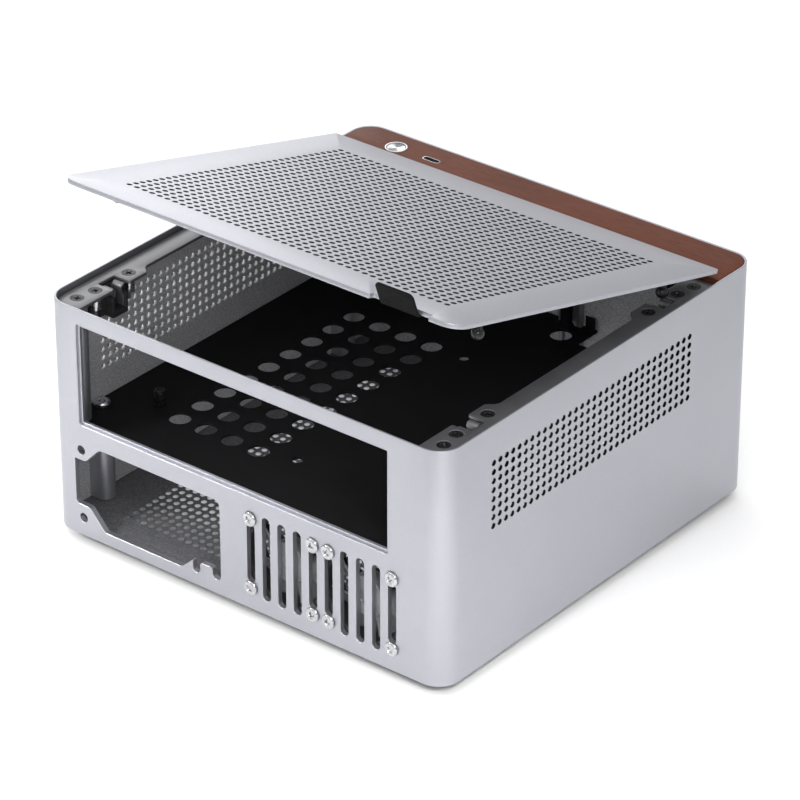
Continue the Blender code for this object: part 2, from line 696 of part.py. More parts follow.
def build_rotor(letter, x, low, high):
    """Seven twisted blades round a cup-shaped hub, turning about the line through the object's origin."""
    middle = (low + high) / 2
    hub = ((0, low), (9 * MM, low), (9 * MM, high - 0.8 * MM), (8.2 * MM, high), (0, high))
    shifted = [(radius, height - middle) for radius, height in hub]
    rotor = place(f"fan_rotor_{letter}", turned(shifted, 20, ALONG_Y), black_plastic(), True)
    rotor.location = (x, middle, FAN_Z)
    blades = bmesh.new()
    reach = (high - low) / 2 - 0.5 * MM
    for blade in range(7):
        add_blade(blades, 2 * math.pi * blade / 7, reach)
    bmesh.ops.transform(blades, matrix=ALONG_Y, verts=blades.verts)
    join(rotor, blades)


def add_blade(mesh, start, reach):
    """One curved blade: a thin section swept from the hub to near the bore, pitched along its length."""
    inner, outer, sweep, thin = 8.3 * MM, 18 * MM, math.radians(34), math.radians(3.2)
    rings = []
    stations = 3
    for station in range(stations):
        share = station / (stations - 1)
        radius = inner + (outer - inner) * share
        lean = math.radians(10) * share
        spread = thin * inner / radius
        ring = []
        for height, turn in ((-reach, 0), (reach, sweep)):
            for edge in (-spread, spread):
                angle = start + turn + lean + edge
                ring.append(mesh.verts.new((radius * math.cos(angle), radius * math.sin(angle), height)))
        rings.append((ring[0], ring[1], ring[3], ring[2]))
    for near, far in zip(rings, rings[1:]):
        for side in range(4):
            other = (side + 1) % 4
            mesh.faces.new((near[side], near[other], far[other], far[side]))
    mesh.faces.new(rings[0])
    mesh.faces.new(rings[-1])


def build_fan_screws():
    head_low = REAR + GAP
    profile = (
        (0, head_low - 9 * MM),
        (1.35 * MM, head_low - 9 * MM),
        (1.35 * MM, head_low),
        (3.25 * MM, head_low),
        (3.25 * MM, head_low + 0.5 * MM),
        (2.3 * MM, head_low + 1.4 * MM),
        (0, head_low + 1.7 * MM),
    )
    for number, (x, z) in enumerate(fan_screw_places(), 1):
        frame = Matrix.Translation((x, 0, z)) @ ALONG_Y
        place(f"fan_screw_{number}", turned(profile, 14, frame), bright_steel(), True)


clear_scene()
build_shell()
build_base()
build_tray()
build_rails()
build_clips()
build_lid()
build_front_controls()
build_fans()
build_fan_screws()
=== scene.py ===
"""A compact flat computer case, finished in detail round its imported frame.

The ring is one blasted and anodised aluminium extrusion. A perforated lid has four ball studs under it.
A walnut strip carries the power button and a USB-C socket, and two small fans sit behind the rear slots.
"""

import json
import math

import bmesh
import bpy
from bpy.props import FloatProperty, FloatVectorProperty, PointerProperty
from mathutils import Matrix, Vector


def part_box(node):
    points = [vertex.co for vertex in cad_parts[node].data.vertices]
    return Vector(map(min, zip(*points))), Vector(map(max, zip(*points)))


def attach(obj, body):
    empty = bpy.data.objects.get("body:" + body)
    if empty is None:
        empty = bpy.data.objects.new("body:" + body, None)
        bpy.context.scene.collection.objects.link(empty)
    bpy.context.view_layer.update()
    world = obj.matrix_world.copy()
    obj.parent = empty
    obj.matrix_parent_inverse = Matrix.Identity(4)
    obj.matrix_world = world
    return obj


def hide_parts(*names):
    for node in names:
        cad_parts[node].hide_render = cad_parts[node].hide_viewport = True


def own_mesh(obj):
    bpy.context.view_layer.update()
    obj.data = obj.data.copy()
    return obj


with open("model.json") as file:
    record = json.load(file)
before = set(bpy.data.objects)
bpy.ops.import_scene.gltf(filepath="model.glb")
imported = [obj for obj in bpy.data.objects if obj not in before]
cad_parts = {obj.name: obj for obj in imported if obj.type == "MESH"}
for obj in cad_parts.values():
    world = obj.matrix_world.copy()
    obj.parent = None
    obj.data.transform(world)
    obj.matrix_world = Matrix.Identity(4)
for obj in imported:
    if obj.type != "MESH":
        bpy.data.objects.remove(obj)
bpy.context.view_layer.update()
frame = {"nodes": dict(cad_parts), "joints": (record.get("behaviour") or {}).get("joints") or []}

bl_info = {
    "name": "Compact Computer Case",
    "version": (1, 0, 0),
    "blender": (4, 5, 0),
    "location": "3D View > Sidebar > Case",
    "description": "Builds a small aluminium computer case with a lid on ball studs and a walnut strip",
    "category": "Object",
}

MM = 0.001
TINY = 0.005 * MM
CASE = "case"
LID = "lid"
CORNERS = ("rear_left", "rear_right", "front_left", "front_right")
SIDES = (("left", -1), ("right", 1))

# Places that the frame gives
SHELL_LOW, SHELL_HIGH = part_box("shell")
BASE_LOW, BASE_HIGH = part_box("base_plate")
TRAY_LOW, TRAY_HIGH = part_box("motherboard_tray")
RAIL_LOW, RAIL_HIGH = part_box("rail_right")
TRIM_LOW, TRIM_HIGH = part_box("wood_trim")
JOINTS = {joint["name"]: joint for joint in frame["joints"]}
HINGE = JOINTS["lid_tilt"]
HINGE_PLACE = Vector(HINGE["pos_m"])
LID_TILT = -math.radians(HINGE["range_deg"][0])

UPRIGHT = Matrix.Identity(4)
ALONG_Y = Matrix(((1, 0, 0, 0), (0, 0, 1, 0), (0, 1, 0, 0), (0, 0, 0, 1)))
ALONG_X = Matrix(((0, 0, 1, 0), (1, 0, 0, 0), (0, 1, 0, 0), (0, 0, 0, 1)))

# Middle of the fine-hole field along and up the side walls, and half of its height
FIELD_ALONG, FIELD_UP, FIELD_HALF = 7.66 * MM, 80.28 * MM, 16 * MM
SLOT_SPACING = 8 * MM
BLADES = 7


# --- Settings ---------------------------------------------------------------------------------------------


def measure(name, description, millimetres):
    """A length setting."""
    return FloatProperty(name=name, description=description, default=millimetres * MM, unit="LENGTH")


def swatch(name, description, colour):
    """A colour setting."""
    return FloatVectorProperty(name=name, description=description, default=colour, subtype="COLOR")


class CaseSizes(bpy.types.PropertyGroup):
    """Wall, edge and hole sizes of the sheet and extruded parts."""

    corner: measure("Corner", "Radius of the ring's corners", 10)
    rim: measure("Rim", "Thickness of the ring's rim", 1)
    wall: measure("Wall", "Thickness of the ring's wall", 2.5)
    ledge: measure("Ledge", "Depth of the ledge under the rim", 4)
    edge: measure("Edge", "Chamfer on the ring's edges", 0.3)
    lip: measure("Lip", "Chamfer round cut openings", 0.2)
    pitch: measure("Pitch", "Spacing of the fine holes", 4.03)
    side_hole: measure("Side hole", "Side hole diameter", 2.7)
    lid_hole: measure("Lid hole", "Lid hole diameter", 2.6)
    base_hole: measure("Base hole", "Base hole diameter", 2.6)
    vent: measure("Vent", "Tray vent diameter", 9.7)


class CaseFinishes(bpy.types.PropertyGroup):
    """Colours of the finishes."""

    silver: swatch("Aluminium", "Anodised aluminium", (0.42, 0.424, 0.461))
    # The inside colour paints the dim light inside the case onto the ring's inner skin, which is the same
    # aluminium as outside.
    inside: swatch("Inside", "Coat inside the ring", (0.55, 0.55, 0.57))
    black: swatch("Black steel", "Coated tray and base", (0.006, 0.006, 0.0066))
    graphite: swatch("Graphite", "Lid rails", (0.2, 0.2, 0.212))
    wood_dark: swatch("Wood pores", "Dark lines of the grain", (0.03, 0.0085, 0.0045))
    wood_light: swatch("Wood", "Body of the wood", (0.125, 0.037, 0.019))
    board: swatch("Circuit board", "Solder mask", (0.006, 0.03, 0.018))


class CaseStage(bpy.types.PropertyGroup):
    """Camera and light."""

    azimuth: FloatProperty(name="Azimuth", description="Side the camera looks from", default=218.75)
    elevation: FloatProperty(name="Elevation", description="Camera height angle", default=29.56)
    distance: measure("Distance", "Camera to the case", 1795.5)
    lens: FloatProperty(name="Lens", description="Focal length in millimetres", default=196.53)
    ambient: FloatProperty(name="Ambient", description="Strength of the even light", default=0.82)


# --- Mesh tools -------------------------------------------------------------------------------------------


def points_of(geometry):
    return [part for part in geometry if isinstance(part, bmesh.types.BMVert)]


def edges_of(geometry):
    return [part for part in geometry if isinstance(part, bmesh.types.BMEdge)]


def faces_of(geometry):
    return [part for part in geometry if isinstance(part, bmesh.types.BMFace)]


def round_points(mesh, points, radius, segments):
    """Rounds corner points of a flat face off, and returns the new points."""
    return bmesh.ops.bevel(
        mesh,
        geom=points,
        offset=radius,
        offset_type="OFFSET",
        segments=segments,
        profile=0.5,
        affect="VERTICES",
        material=-1,
    )["verts"]


def outline(mesh, corners, height=0.0, segments=6):
    """A flat face through (x, y, radius) corners, anticlockwise, with each radius rounded off."""
    points = [mesh.verts.new((x, y, height)) for x, y, radius in corners]
    face = mesh.faces.new(points)
    for point, (x, y, radius) in zip(points, corners):
        if radius > 0:
            face = round_points(mesh, [point], radius, segments)[0].link_faces[0]
    face.normal_update()
    return face


def rectangle(left, right, low, high, radius=0.0):
    return [(left, low, radius), (right, low, radius), (right, high, radius), (left, high, radius)]


def disc(mesh, x, y, radius, segments, height=0.0):
    """A flat round face."""
    made = bmesh.ops.create_circle(
        mesh, cap_ends=True, segments=segments, radius=radius, matrix=at(x, y, height)
    )
    return made["verts"][0].link_faces[0]


def pull(mesh, faces, move):
    """Extrudes faces by a vector or a matrix, and returns the moved ones."""
    rims = list({edge for face in faces for edge in face.edges})
    made = bmesh.ops.extrude_face_region(mesh, geom=list(faces) + rims)["geom"]
    place = move if isinstance(move, Matrix) else Matrix.Translation(move)
    bmesh.ops.transform(mesh, matrix=place, verts=points_of(made))
    return faces_of(made)


def step_in(mesh, face, width, rise=0.0):
    """Insets a face, and raises or sinks its middle."""
    bmesh.ops.inset_individual(mesh, faces=[face], thickness=width, depth=rise, use_even_offset=True)
    return face


def soften(mesh, edges, width, segments=2):
    """Rounds edges off."""
    bmesh.ops.bevel(
        mesh,
        geom=edges,
        offset=width,
        offset_type="OFFSET",
        segments=segments,
        profile=0.5,
        affect="EDGES",
        clamp_overlap=True,
        material=-1,
    )


def soften_sharp(mesh, width, segments=2, angle=50):
    """Rounds every edge off that is sharper than the angle."""
    bmesh.ops.recalc_face_normals(mesh, faces=mesh.faces)
    sharp = [
        edge
        for edge in mesh.edges
        if len(edge.link_faces) == 2 and edge.calc_face_angle(0) > math.radians(angle)
    ]
    soften(mesh, sharp, width, segments)
    return mesh


def slab(corners, low, high, edge=0.0, segments=6):
    """A solid plate with an outline and softened edges."""
    mesh = bmesh.new()
    pull(mesh, [outline(mesh, corners, low, segments)], (0, 0, high - low))
    if edge > 0:
        soften_sharp(mesh, edge)
    return mesh


def turned(profile, segments, edge=0.0, angle=40):
    """A solid turned about Z from (radius, height) points."""
    mesh = bmesh.new()
    points = [mesh.verts.new((radius, 0, height)) for radius, height in profile]
    edges = [mesh.edges.new(pair) for pair in zip(points, points[1:])]
    if profile[0][0] > 0:
        edges.append(mesh.edges.new((points[-1], points[0])))
    bmesh.ops.spin(
        mesh,
        geom=points + edges,
        cent=(0, 0, 0),
        axis=(0, 0, 1),
        angle=2 * math.pi,
        steps=segments,
        use_merge=True,
    )
    bmesh.ops.remove_doubles(mesh, verts=mesh.verts, dist=TINY)
    bmesh.ops.dissolve_degenerate(mesh, edges=mesh.edges, dist=TINY)
    if edge > 0:
        soften_sharp(mesh, edge, 2, angle)
    return mesh


def at(x, y, z):
    return Matrix.Translation((x, y, z))


def moved(mesh, x, y, z):
    """The same mesh, moved as a whole."""
    bmesh.ops.translate(mesh, verts=mesh.verts, vec=(x, y, z))
    return mesh


def add(mesh, part, place=UPRIGHT):
    """Moves a part to its place and puts it into the mesh."""
    bmesh.ops.transform(part, matrix=place, verts=part.verts)
    carrier = bpy.data.meshes.new("carrier")
    part.to_mesh(carrier)
    part.free()
    mesh.from_mesh(carrier)
    bpy.data.meshes.remove(carrier)
    return mesh


def copy_of(mesh, place=UPRIGHT):
    twin = mesh.copy()
    bmesh.ops.transform(twin, matrix=place, verts=twin.verts)
    return twin


def on_level(item, axis, level):
    return all(abs(point.co[axis] - level) < TINY for point in item.verts)


def open_wall(mesh, axis, *levels):
    """Takes away the faces that lie on these levels of an axis, and leaves their edges."""
    flat = [face for face in mesh.faces if any(on_level(face, axis, level) for level in levels)]
    bmesh.ops.delete(mesh, geom=flat, context="FACES_ONLY")


def close_wall(mesh, axis, *levels):
    """Fills each level between all its open edges, so that what stands in it is framed."""
    for level in levels:
        rims = [edge for edge in mesh.edges if edge.is_boundary and on_level(edge, axis, level)]
        bmesh.ops.triangle_fill(mesh, use_beauty=True, edges=rims)


def tunnel(mouth_mesh, mouth, depth, lip):
    """Turns the face of a hole's mouth into its chamfered wall, open at the far end."""
    step_in(mouth_mesh, mouth, lip, -lip)
    far = pull(mouth_mesh, [mouth], (0, 0, lip - depth))
    bmesh.ops.delete(mouth_mesh, geom=far, context="FACES_ONLY")
    return mouth_mesh


def shaped_hole(corners, depth, lip, segments=5):
    mesh = bmesh.new()
    return tunnel(mesh, outline(mesh, corners, 0.0, segments), depth, lip)


def round_hole(x, y, radius, depth, lip, segments=24):
    mesh = bmesh.new()
    return tunnel(mesh, disc(mesh, x, y, radius, segments), depth, lip)


def pierce(mesh, low, high, holes):
    """Puts holes, whose mouths are at height 0, through a plate that lies between two heights."""
    open_wall(mesh, 2, low, high)
    for hole in holes:
        add(mesh, hole, at(0, 0, high))
    close_wall(mesh, 2, low, high)
    return mesh


def hole_field(columns, rows, pitch, diameter, depth):
    """A centred field of square cells, each with a round hole, with its top at height 0."""
    mesh = bmesh.new()
    bmesh.ops.create_circle(mesh, cap_ends=False, segments=12, radius=diameter / 2)
    bmesh.ops.rotate(mesh, verts=mesh.verts, cent=(0, 0, 0), matrix=Matrix.Rotation(math.pi / 12, 3, "Z"))
    hole = list(mesh.edges)
    spread = bmesh.ops.extrude_edge_only(mesh, edges=hole)["geom"]
    for point in points_of(spread):
        point.co *= pitch / 2 / max(abs(point.co.x), abs(point.co.y))
    underside = bmesh.ops.duplicate(mesh, geom=mesh.faces[:])["geom"]
    bmesh.ops.translate(mesh, verts=points_of(underside), vec=(0, 0, -depth))
    wall = bmesh.ops.extrude_edge_only(mesh, edges=hole)["geom"]
    bmesh.ops.translate(mesh, verts=points_of(wall), vec=(0, 0, -depth))
    bmesh.ops.remove_doubles(mesh, verts=mesh.verts, dist=TINY)
    start = Vector(((1 - columns) * pitch / 2, (1 - rows) * pitch / 2, 0))
    bmesh.ops.translate(mesh, verts=mesh.verts, vec=start)
    for count, along in ((columns, Vector((pitch, 0, 0))), (rows, Vector((0, pitch, 0)))):
        first = mesh.verts[:] + mesh.edges[:] + mesh.faces[:]
        for step in range(1, count):
            twin = bmesh.ops.duplicate(mesh, geom=first)["geom"]
            bmesh.ops.translate(mesh, verts=points_of(twin), vec=along * step)
    bmesh.ops.remove_doubles(mesh, verts=mesh.verts, dist=TINY)
    return mesh


def carved(mesh, cutter):
    """The mesh with a closed cutter taken out of it."""
    holders = []
    for part in (mesh, cutter):
        bmesh.ops.recalc_face_normals(part, faces=part.faces)
        data = bpy.data.meshes.new("carving")
        part.to_mesh(data)
        part.free()
        holder = bpy.data.objects.new("carving", data)
        bpy.context.scene.collection.objects.link(holder)
        holders.append(holder)
    body, tool = holders
    cut = body.modifiers.new("cut", "BOOLEAN")
    cut.operation = "DIFFERENCE"
    cut.solver = "EXACT"
    cut.object = tool
    graph = bpy.context.evaluated_depsgraph_get()
    result = bmesh.new()
    result.from_mesh(body.evaluated_get(graph).data)
    for holder in holders:
        data = holder.data
        bpy.data.objects.remove(holder)
        bpy.data.meshes.remove(data)
    return result


def ribbon(path, width, centre):
    """A strip along (y, z) points, with a width along X and no thickness."""
    mesh = bmesh.new()
    points = [mesh.verts.new((centre - width / 2, y, z)) for y, z in path]
    edges = [mesh.edges.new(pair) for pair in zip(points, points[1:])]
    made = bmesh.ops.extrude_edge_only(mesh, edges=edges)["geom"]
    bmesh.ops.translate(mesh, verts=points_of(made), vec=(width, 0, 0))
    return mesh


def thicken(mesh, thickness):
    bmesh.ops.recalc_face_normals(mesh, faces=mesh.faces)
    bmesh.ops.solidify(mesh, geom=mesh.faces[:], thickness=thickness)
    return mesh


def swept(path, width, thickness, centre=0.0):
    """A strip bent along (y, z) points, with a width along X and a thickness."""
    return thicken(ribbon(path, width, centre), thickness)


def arc(y, z, radius, start, end, steps):
    """Points of an arc in the YZ plane, with angles in degrees."""
    turns = [math.radians(start + (end - start) * step / steps) for step in range(steps + 1)]
    return [(y + radius * math.cos(turn), z + radius * math.sin(turn)) for turn in turns]


def piece(name, mesh, body, finishes, nodes=(), smooth=35):
    """A finished object that rides on a body, takes a slot's finish and stands for CAD nodes."""
    bmesh.ops.remove_doubles(mesh, verts=mesh.verts, dist=TINY / 10)
    bmesh.ops.recalc_face_normals(mesh, faces=mesh.faces)
    data = bpy.data.meshes.new(name)
    mesh.to_mesh(data)
    mesh.free()
    data.shade_smooth()
    data.set_sharp_from_angle(angle=math.radians(smooth))
    for material in finishes:
        data.materials.append(material)
    made = bpy.data.objects.new(name, data)
    bpy.context.scene.collection.objects.link(made)
    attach(made, body)
    if nodes:
        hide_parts(*nodes)
    return made


def span(node):
    """The lowest corner, middle and highest corner of a node's box."""
    low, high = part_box(node)
    return low, (low + high) / 2, high


def middle(node):
    return span(node)[1]


def tilted(mesh):
    """Turns a mesh made with the lid shut to the lid's place in the frame."""
    turn = Matrix.Rotation(LID_TILT, 4, "X")
    there = Matrix.Translation(HINGE_PLACE)
    bmesh.ops.transform(mesh, matrix=there @ turn @ there.inverted(), verts=mesh.verts)
    return mesh


def shut_span(node):
    """The lowest corner, middle and highest corner of a lid node with the lid shut."""
    turn = Matrix.Rotation(-LID_TILT, 4, "X")
    points = [turn @ (point.co - HINGE_PLACE) + HINGE_PLACE for point in frame["nodes"][node].data.vertices]
    low = Vector(map(min, zip(*points)))
    high = Vector(map(max, zip(*points)))
    return low, (low + high) / 2, high


# --- Finishes ---------------------------------------------------------------------------------------------


class Finish:
    """A material under construction, with its shader and short calls for its nodes."""

    def __init__(self, name, colour, roughness, metallic=0.0):
        self.colour = colour
        self.material = bpy.data.materials.new(name)
        self.material.use_nodes = True
        self.tree = self.material.node_tree
        self.shader = self.tree.nodes["Principled BSDF"]
        self.shader.inputs["Base Color"].default_value = (*colour, 1)
        self.shader.inputs["Roughness"].default_value = roughness
        self.shader.inputs["Metallic"].default_value = metallic
        self.material.diffuse_color = (*colour, 1)

    def node(self, kind, **settings):
        made = self.tree.nodes.new(kind)
        for name, value in settings.items():
            if isinstance(value, bpy.types.NodeSocket):
                self.tree.links.new(value, made.inputs[name.replace("_", " ")])
            elif hasattr(made, name):
                setattr(made, name, value)
            else:
                made.inputs[name.replace("_", " ")].default_value = value
        return made

    def place(self, scale=(1, 1, 1), move=(0, 0, 0)):
        """Object coordinates, moved and then scaled."""
        where = self.node("ShaderNodeTexCoord").outputs["Object"]
        mapping = self.node("ShaderNodeMapping", vector_type="POINT", Vector=where, Scale=scale)
        mapping.inputs["Location"].default_value = [-m * s for m, s in zip(move, scale)]
        return mapping.outputs["Vector"]

    def noise(self, size, detail=3.0, roughness=0.5, stretch=(1, 1, 1)):
        """Noise whose grains are about a size across, in metres."""
        where = self.place(stretch)
        made = self.node("ShaderNodeTexNoise", Vector=where, Scale=1 / size, Detail=detail)
        made.inputs["Roughness"].default_value = roughness
        return made.outputs["Fac"]

    def between(self, fac, low, high, start=0.0, end=1.0):
        """A value that follows a factor between two limits."""
        made = self.node("ShaderNodeMapRange", Value=fac)
        made.inputs["From Min"].default_value = start
        made.inputs["From Max"].default_value = end
        made.inputs["To Min"].default_value = low
        made.inputs["To Max"].default_value = high
        return made.outputs["Result"]

    def blend(self, fac, first, second):
        """A colour between two others."""
        made = self.node("ShaderNodeMix", data_type="RGBA")
        self.tree.links.new(fac, made.inputs[0])
        for socket, value in ((made.inputs[6], first), (made.inputs[7], second)):
            if isinstance(value, bpy.types.NodeSocket):
                self.tree.links.new(value, socket)
            else:
                socket.default_value = (*value, 1)
        return made.outputs[2]

    def sum(self, kind, first, second):
        made = self.node("ShaderNodeMath", operation=kind)
        for socket, value in zip(made.inputs, (first, second)):
            if isinstance(value, bpy.types.NodeSocket):
                self.tree.links.new(value, socket)
            else:
                socket.default_value = value
        return made.outputs[0]

    def tint(self, fac, first, second):
        """Colours the surface between two colours."""
        self.tree.links.new(self.blend(fac, first, second), self.shader.inputs["Base Color"])

    def rough(self, fac, low, high, start=0.0, end=1.0):
        """Sets the roughness between two limits."""
        result = self.between(fac, low, high, start, end)
        self.tree.links.new(result, self.shader.inputs["Roughness"])

    def lit(self, factor):
        """The finish's own colour, lighter or darker."""
        return tuple(min(1.0, part * factor) for part in self.colour)

    def bump(self, height, depth, strength=1.0):
        """Raises the surface by a height factor, to a depth in metres."""
        made = self.node("ShaderNodeBump", Height=height, Strength=strength, Distance=depth)
        self.tree.links.new(made.outputs["Normal"], self.shader.inputs["Normal"])

    def set(self, **values):
        for name, value in values.items():
            self.shader.inputs[name.replace("_", " ")].default_value = value


def shared(colour, roughness, metallic=0.0):
    """Makes a finish once, from a colour or a colour setting's name, for every piece that asks for it."""

    def decorate(maker):
        def get():
            name = maker.__name__ + "_finish"
            if name not in bpy.data.materials:
                settings = bpy.context.scene.case_finishes
                base = getattr(settings, colour) if isinstance(colour, str) else colour
                maker(Finish(name, base, roughness, metallic))
            return bpy.data.materials[name]

        return get

    return decorate


@shared("silver", 0.42, 0.88)
def anodised_silver(finish):
    """Fine glass-blasted aluminium under a clear anodised skin."""
    clouds = finish.noise(40 * MM, 3, 0.6)
    finish.tint(clouds, finish.lit(0.95), finish.lit(1.05))
    grain = finish.noise(0.28 * MM, 2, 0.6)
    speckle = finish.noise(0.9 * MM, 3, 0.6)
    finish.rough(speckle, 0.37, 0.48, 0.3, 0.7)
    finish.bump(finish.sum("ADD", grain, finish.sum("MULTIPLY", speckle, 0.5)), 0.02 * MM, 0.55)


@shared("inside", 0.62, 0.55)
def inside_coat(finish):
    """The ring's inner skin: the same aluminium, rougher, with its own colour set to paint the dim light
    inside the case.
    """
    grain = finish.noise(0.55 * MM, 4, 0.7)
    speckle = finish.between(grain, 0, 1, 0.34, 0.66)
    finish.tint(speckle, finish.lit(0.6), finish.lit(1.4))
    finish.rough(grain, 0.5, 0.72)
    finish.bump(grain, 0.12 * MM, 0.6)


@shared((0.6, 0.6, 0.62), 0.2, 1)
def hole_wall(finish):
    """The smooth walls of the fine holes: bright inside, with painted shade that darkens them towards the
    case's outside.
    """
    grain = finish.noise(0.3 * MM, 3, 0.6)
    bright = finish.blend(grain, (0.78, 0.78, 0.8), (0.9, 0.9, 0.92))
    across = finish.node("ShaderNodeSeparateXYZ", Vector=finish.place()).outputs["X"]
    wall = SHELL_HIGH.x - bpy.context.scene.case_sizes.wall
    # Painted shade: the outer part of each bore is coloured near-black, as shade falls in it from outside.
    outer = finish.between(finish.sum("ABSOLUTE", across, 0), 0, 1, wall + 1 * MM, wall + 1.4 * MM)
    finish.tint(outer, bright, (0.03, 0.03, 0.032))
    finish.rough(grain, 0.26, 0.36)


@shared((0.03, 0.03, 0.033), 0.6, 0.3)
def shaded_bore(finish):
    """The walls of the lid's holes, painted near-black as the shade inside them."""
    grain = finish.noise(0.3 * MM, 3, 0.6)
    finish.tint(grain, (0.012, 0.012, 0.014), (0.035, 0.035, 0.038))
    finish.rough(grain, 0.5, 0.7)


@shared("black", 0.5)
def black_steel(finish):
    """Steel sheet under a fine black powder coat."""
    grain = finish.noise(0.4 * MM, 3, 0.6)
    wear = finish.noise(18 * MM, 4, 0.6)
    finish.tint(wear, finish.lit(0.7), finish.lit(1.7))
    finish.rough(wear, 0.55, 0.68, 0.3, 0.7)
    finish.bump(grain, 0.03 * MM, 0.5)
    finish.set(Specular_IOR_Level=0.06)


@shared("black", 0.6)
def base_coat(finish):
    """The base plate's coarser texture coat, with grey flecks."""
    grain = finish.noise(0.7 * MM, 4, 0.7)
    flecks = finish.between(grain, 0, 1, 0.35, 0.7)
    finish.tint(flecks, finish.lit(8), finish.lit(30))
    finish.bump(grain, 0.1 * MM, 0.6)
    finish.rough(grain, 0.5, 0.7)


@shared("graphite", 0.4, 0.75)
def graphite_metal(finish):
    """The rails' satin grey metal, with faint rolling lines."""
    rolling = finish.noise(0.6 * MM, 3, 0.6, (1, 0.04, 1))
    clouds = finish.noise(15 * MM, 3, 0.5)
    finish.tint(clouds, finish.lit(0.8), finish.lit(1.25))
    finish.rough(rolling, 0.34, 0.5)
    finish.bump(rolling, 0.015 * MM, 0.5)


@shared((0.78, 0.78, 0.8), 0.22, 1)
def bright_steel(finish):
    """Nickel-plated steel with fine scratches."""
    scratches = finish.noise(0.3 * MM, 4, 0.7, (1, 0.2, 1))
    finish.rough(scratches, 0.16, 0.36, 0.3, 0.7)
    finish.tint(finish.noise(3 * MM), (0.42, 0.42, 0.43), (0.58, 0.58, 0.6))
    finish.bump(scratches, 0.006 * MM, 0.4)


@shared((0.03, 0.03, 0.032), 0.35, 0.8)
def black_oxide(finish):
    """Blackened screw steel, rubbed brighter in places."""
    rub = finish.noise(0.8 * MM, 4, 0.6)
    worn = finish.between(rub, 0, 1, 0.45, 0.75)
    finish.tint(worn, (0.02, 0.02, 0.022), (0.12, 0.12, 0.125))
    finish.rough(rub, 0.28, 0.48)
    finish.bump(rub, 0.01 * MM, 0.5)


@shared((0.016, 0.016, 0.017), 0.38)
def black_plastic(finish):
    """Moulded black plastic with a light spark-eroded grain."""
    grain = finish.noise(0.35 * MM, 3, 0.6)
    flow = finish.noise(12 * MM, 2, 0.5)
    finish.tint(flow, (0.012, 0.012, 0.013), (0.024, 0.024, 0.025))
    finish.rough(grain, 0.3, 0.46)
    finish.bump(grain, 0.012 * MM, 0.5)


@shared((0.2, 0.205, 0.21), 0.25)
def smoked_plastic(finish):
    """The fan rotors' grey, slightly glossy plastic."""
    flow = finish.noise(6 * MM, 3, 0.6)
    finish.tint(flow, (0.12, 0.122, 0.126), (0.34, 0.345, 0.35))
    finish.rough(flow, 0.24, 0.4)
    finish.bump(finish.noise(0.5 * MM), 0.01 * MM, 0.4)


@shared((0.01, 0.01, 0.011), 0.14)
def glossy_black(finish):
    """Polished black acetal of the ball studs."""
    marks = finish.noise(0.6 * MM, 3, 0.6)
    finish.rough(marks, 0.1, 0.24)
    finish.tint(marks, (0.008, 0.008, 0.009), (0.016, 0.016, 0.017))
    finish.set(Specular_IOR_Level=0.35)


@shared((0.018, 0.018, 0.018), 0.8)
def foot_rubber(finish):
    """Matt rubber with dust in its pores."""
    dust = finish.noise(0.8 * MM, 4, 0.7)
    pores = finish.between(dust, 0, 1, 0.5, 0.8)
    finish.tint(pores, (0.014, 0.014, 0.014), (0.045, 0.044, 0.042))
    finish.rough(dust, 0.7, 0.88)
    finish.bump(dust, 0.05 * MM, 0.5)


@shared("wood_light", 0.5)
def oiled_walnut(finish):
    """Fine-grained walnut: long wavy bands, thin dark pores and an oil sheen."""
    where = finish.place((0.09, 1, 1))
    bands = finish.node(
        "ShaderNodeTexNoise", Vector=where, Scale=1 / (2.6 * MM), Detail=5.0, Roughness=0.6, Distortion=0.6
    ).outputs["Fac"]
    fine = finish.noise(0.32 * MM, 3, 0.65, (0.045, 1, 1))
    clouds = finish.noise(30 * MM, 3, 0.5, (0.5, 1, 1))
    body = finish.blend(finish.between(bands, 0, 1, 0.3, 0.72), finish.lit(0.72), finish.colour)
    toned = finish.blend(finish.between(clouds, 0, 0.55, 0.35, 0.7), body, finish.lit(1.16))
    pore_colour = bpy.context.scene.case_finishes.wood_dark
    pores = finish.between(fine, 1, 0, 0.33, 0.47)
    finish.tint(finish.sum("MULTIPLY", pores, 0.6), toned, pore_colour)
    finish.rough(fine, 0.62, 0.42)
    finish.bump(finish.sum("ADD", fine, finish.sum("MULTIPLY", bands, 0.4)), 0.05 * MM, 0.5)
    finish.set(Specular_IOR_Level=0.13)


@shared((0.02, 0.02, 0.021), 0.5)
def tab_leather(finish):
    """Black leather with a pebbled grain."""
    cells = finish.node(
        "ShaderNodeTexVoronoi", feature="DISTANCE_TO_EDGE", Vector=finish.place(), Scale=1 / (0.8 * MM)
    ).outputs["Distance"]
    creases = finish.between(cells, 0, 1, 0, 0.18)
    # Painted shade: the crease lines are coloured darker than the pebbles between them.
    finish.tint(creases, (0.003, 0.003, 0.003), (0.009, 0.009, 0.0095))
    finish.rough(creases, 0.62, 0.42)
    finish.bump(creases, 0.06 * MM, 0.6)
    finish.set(Specular_IOR_Level=0.06)


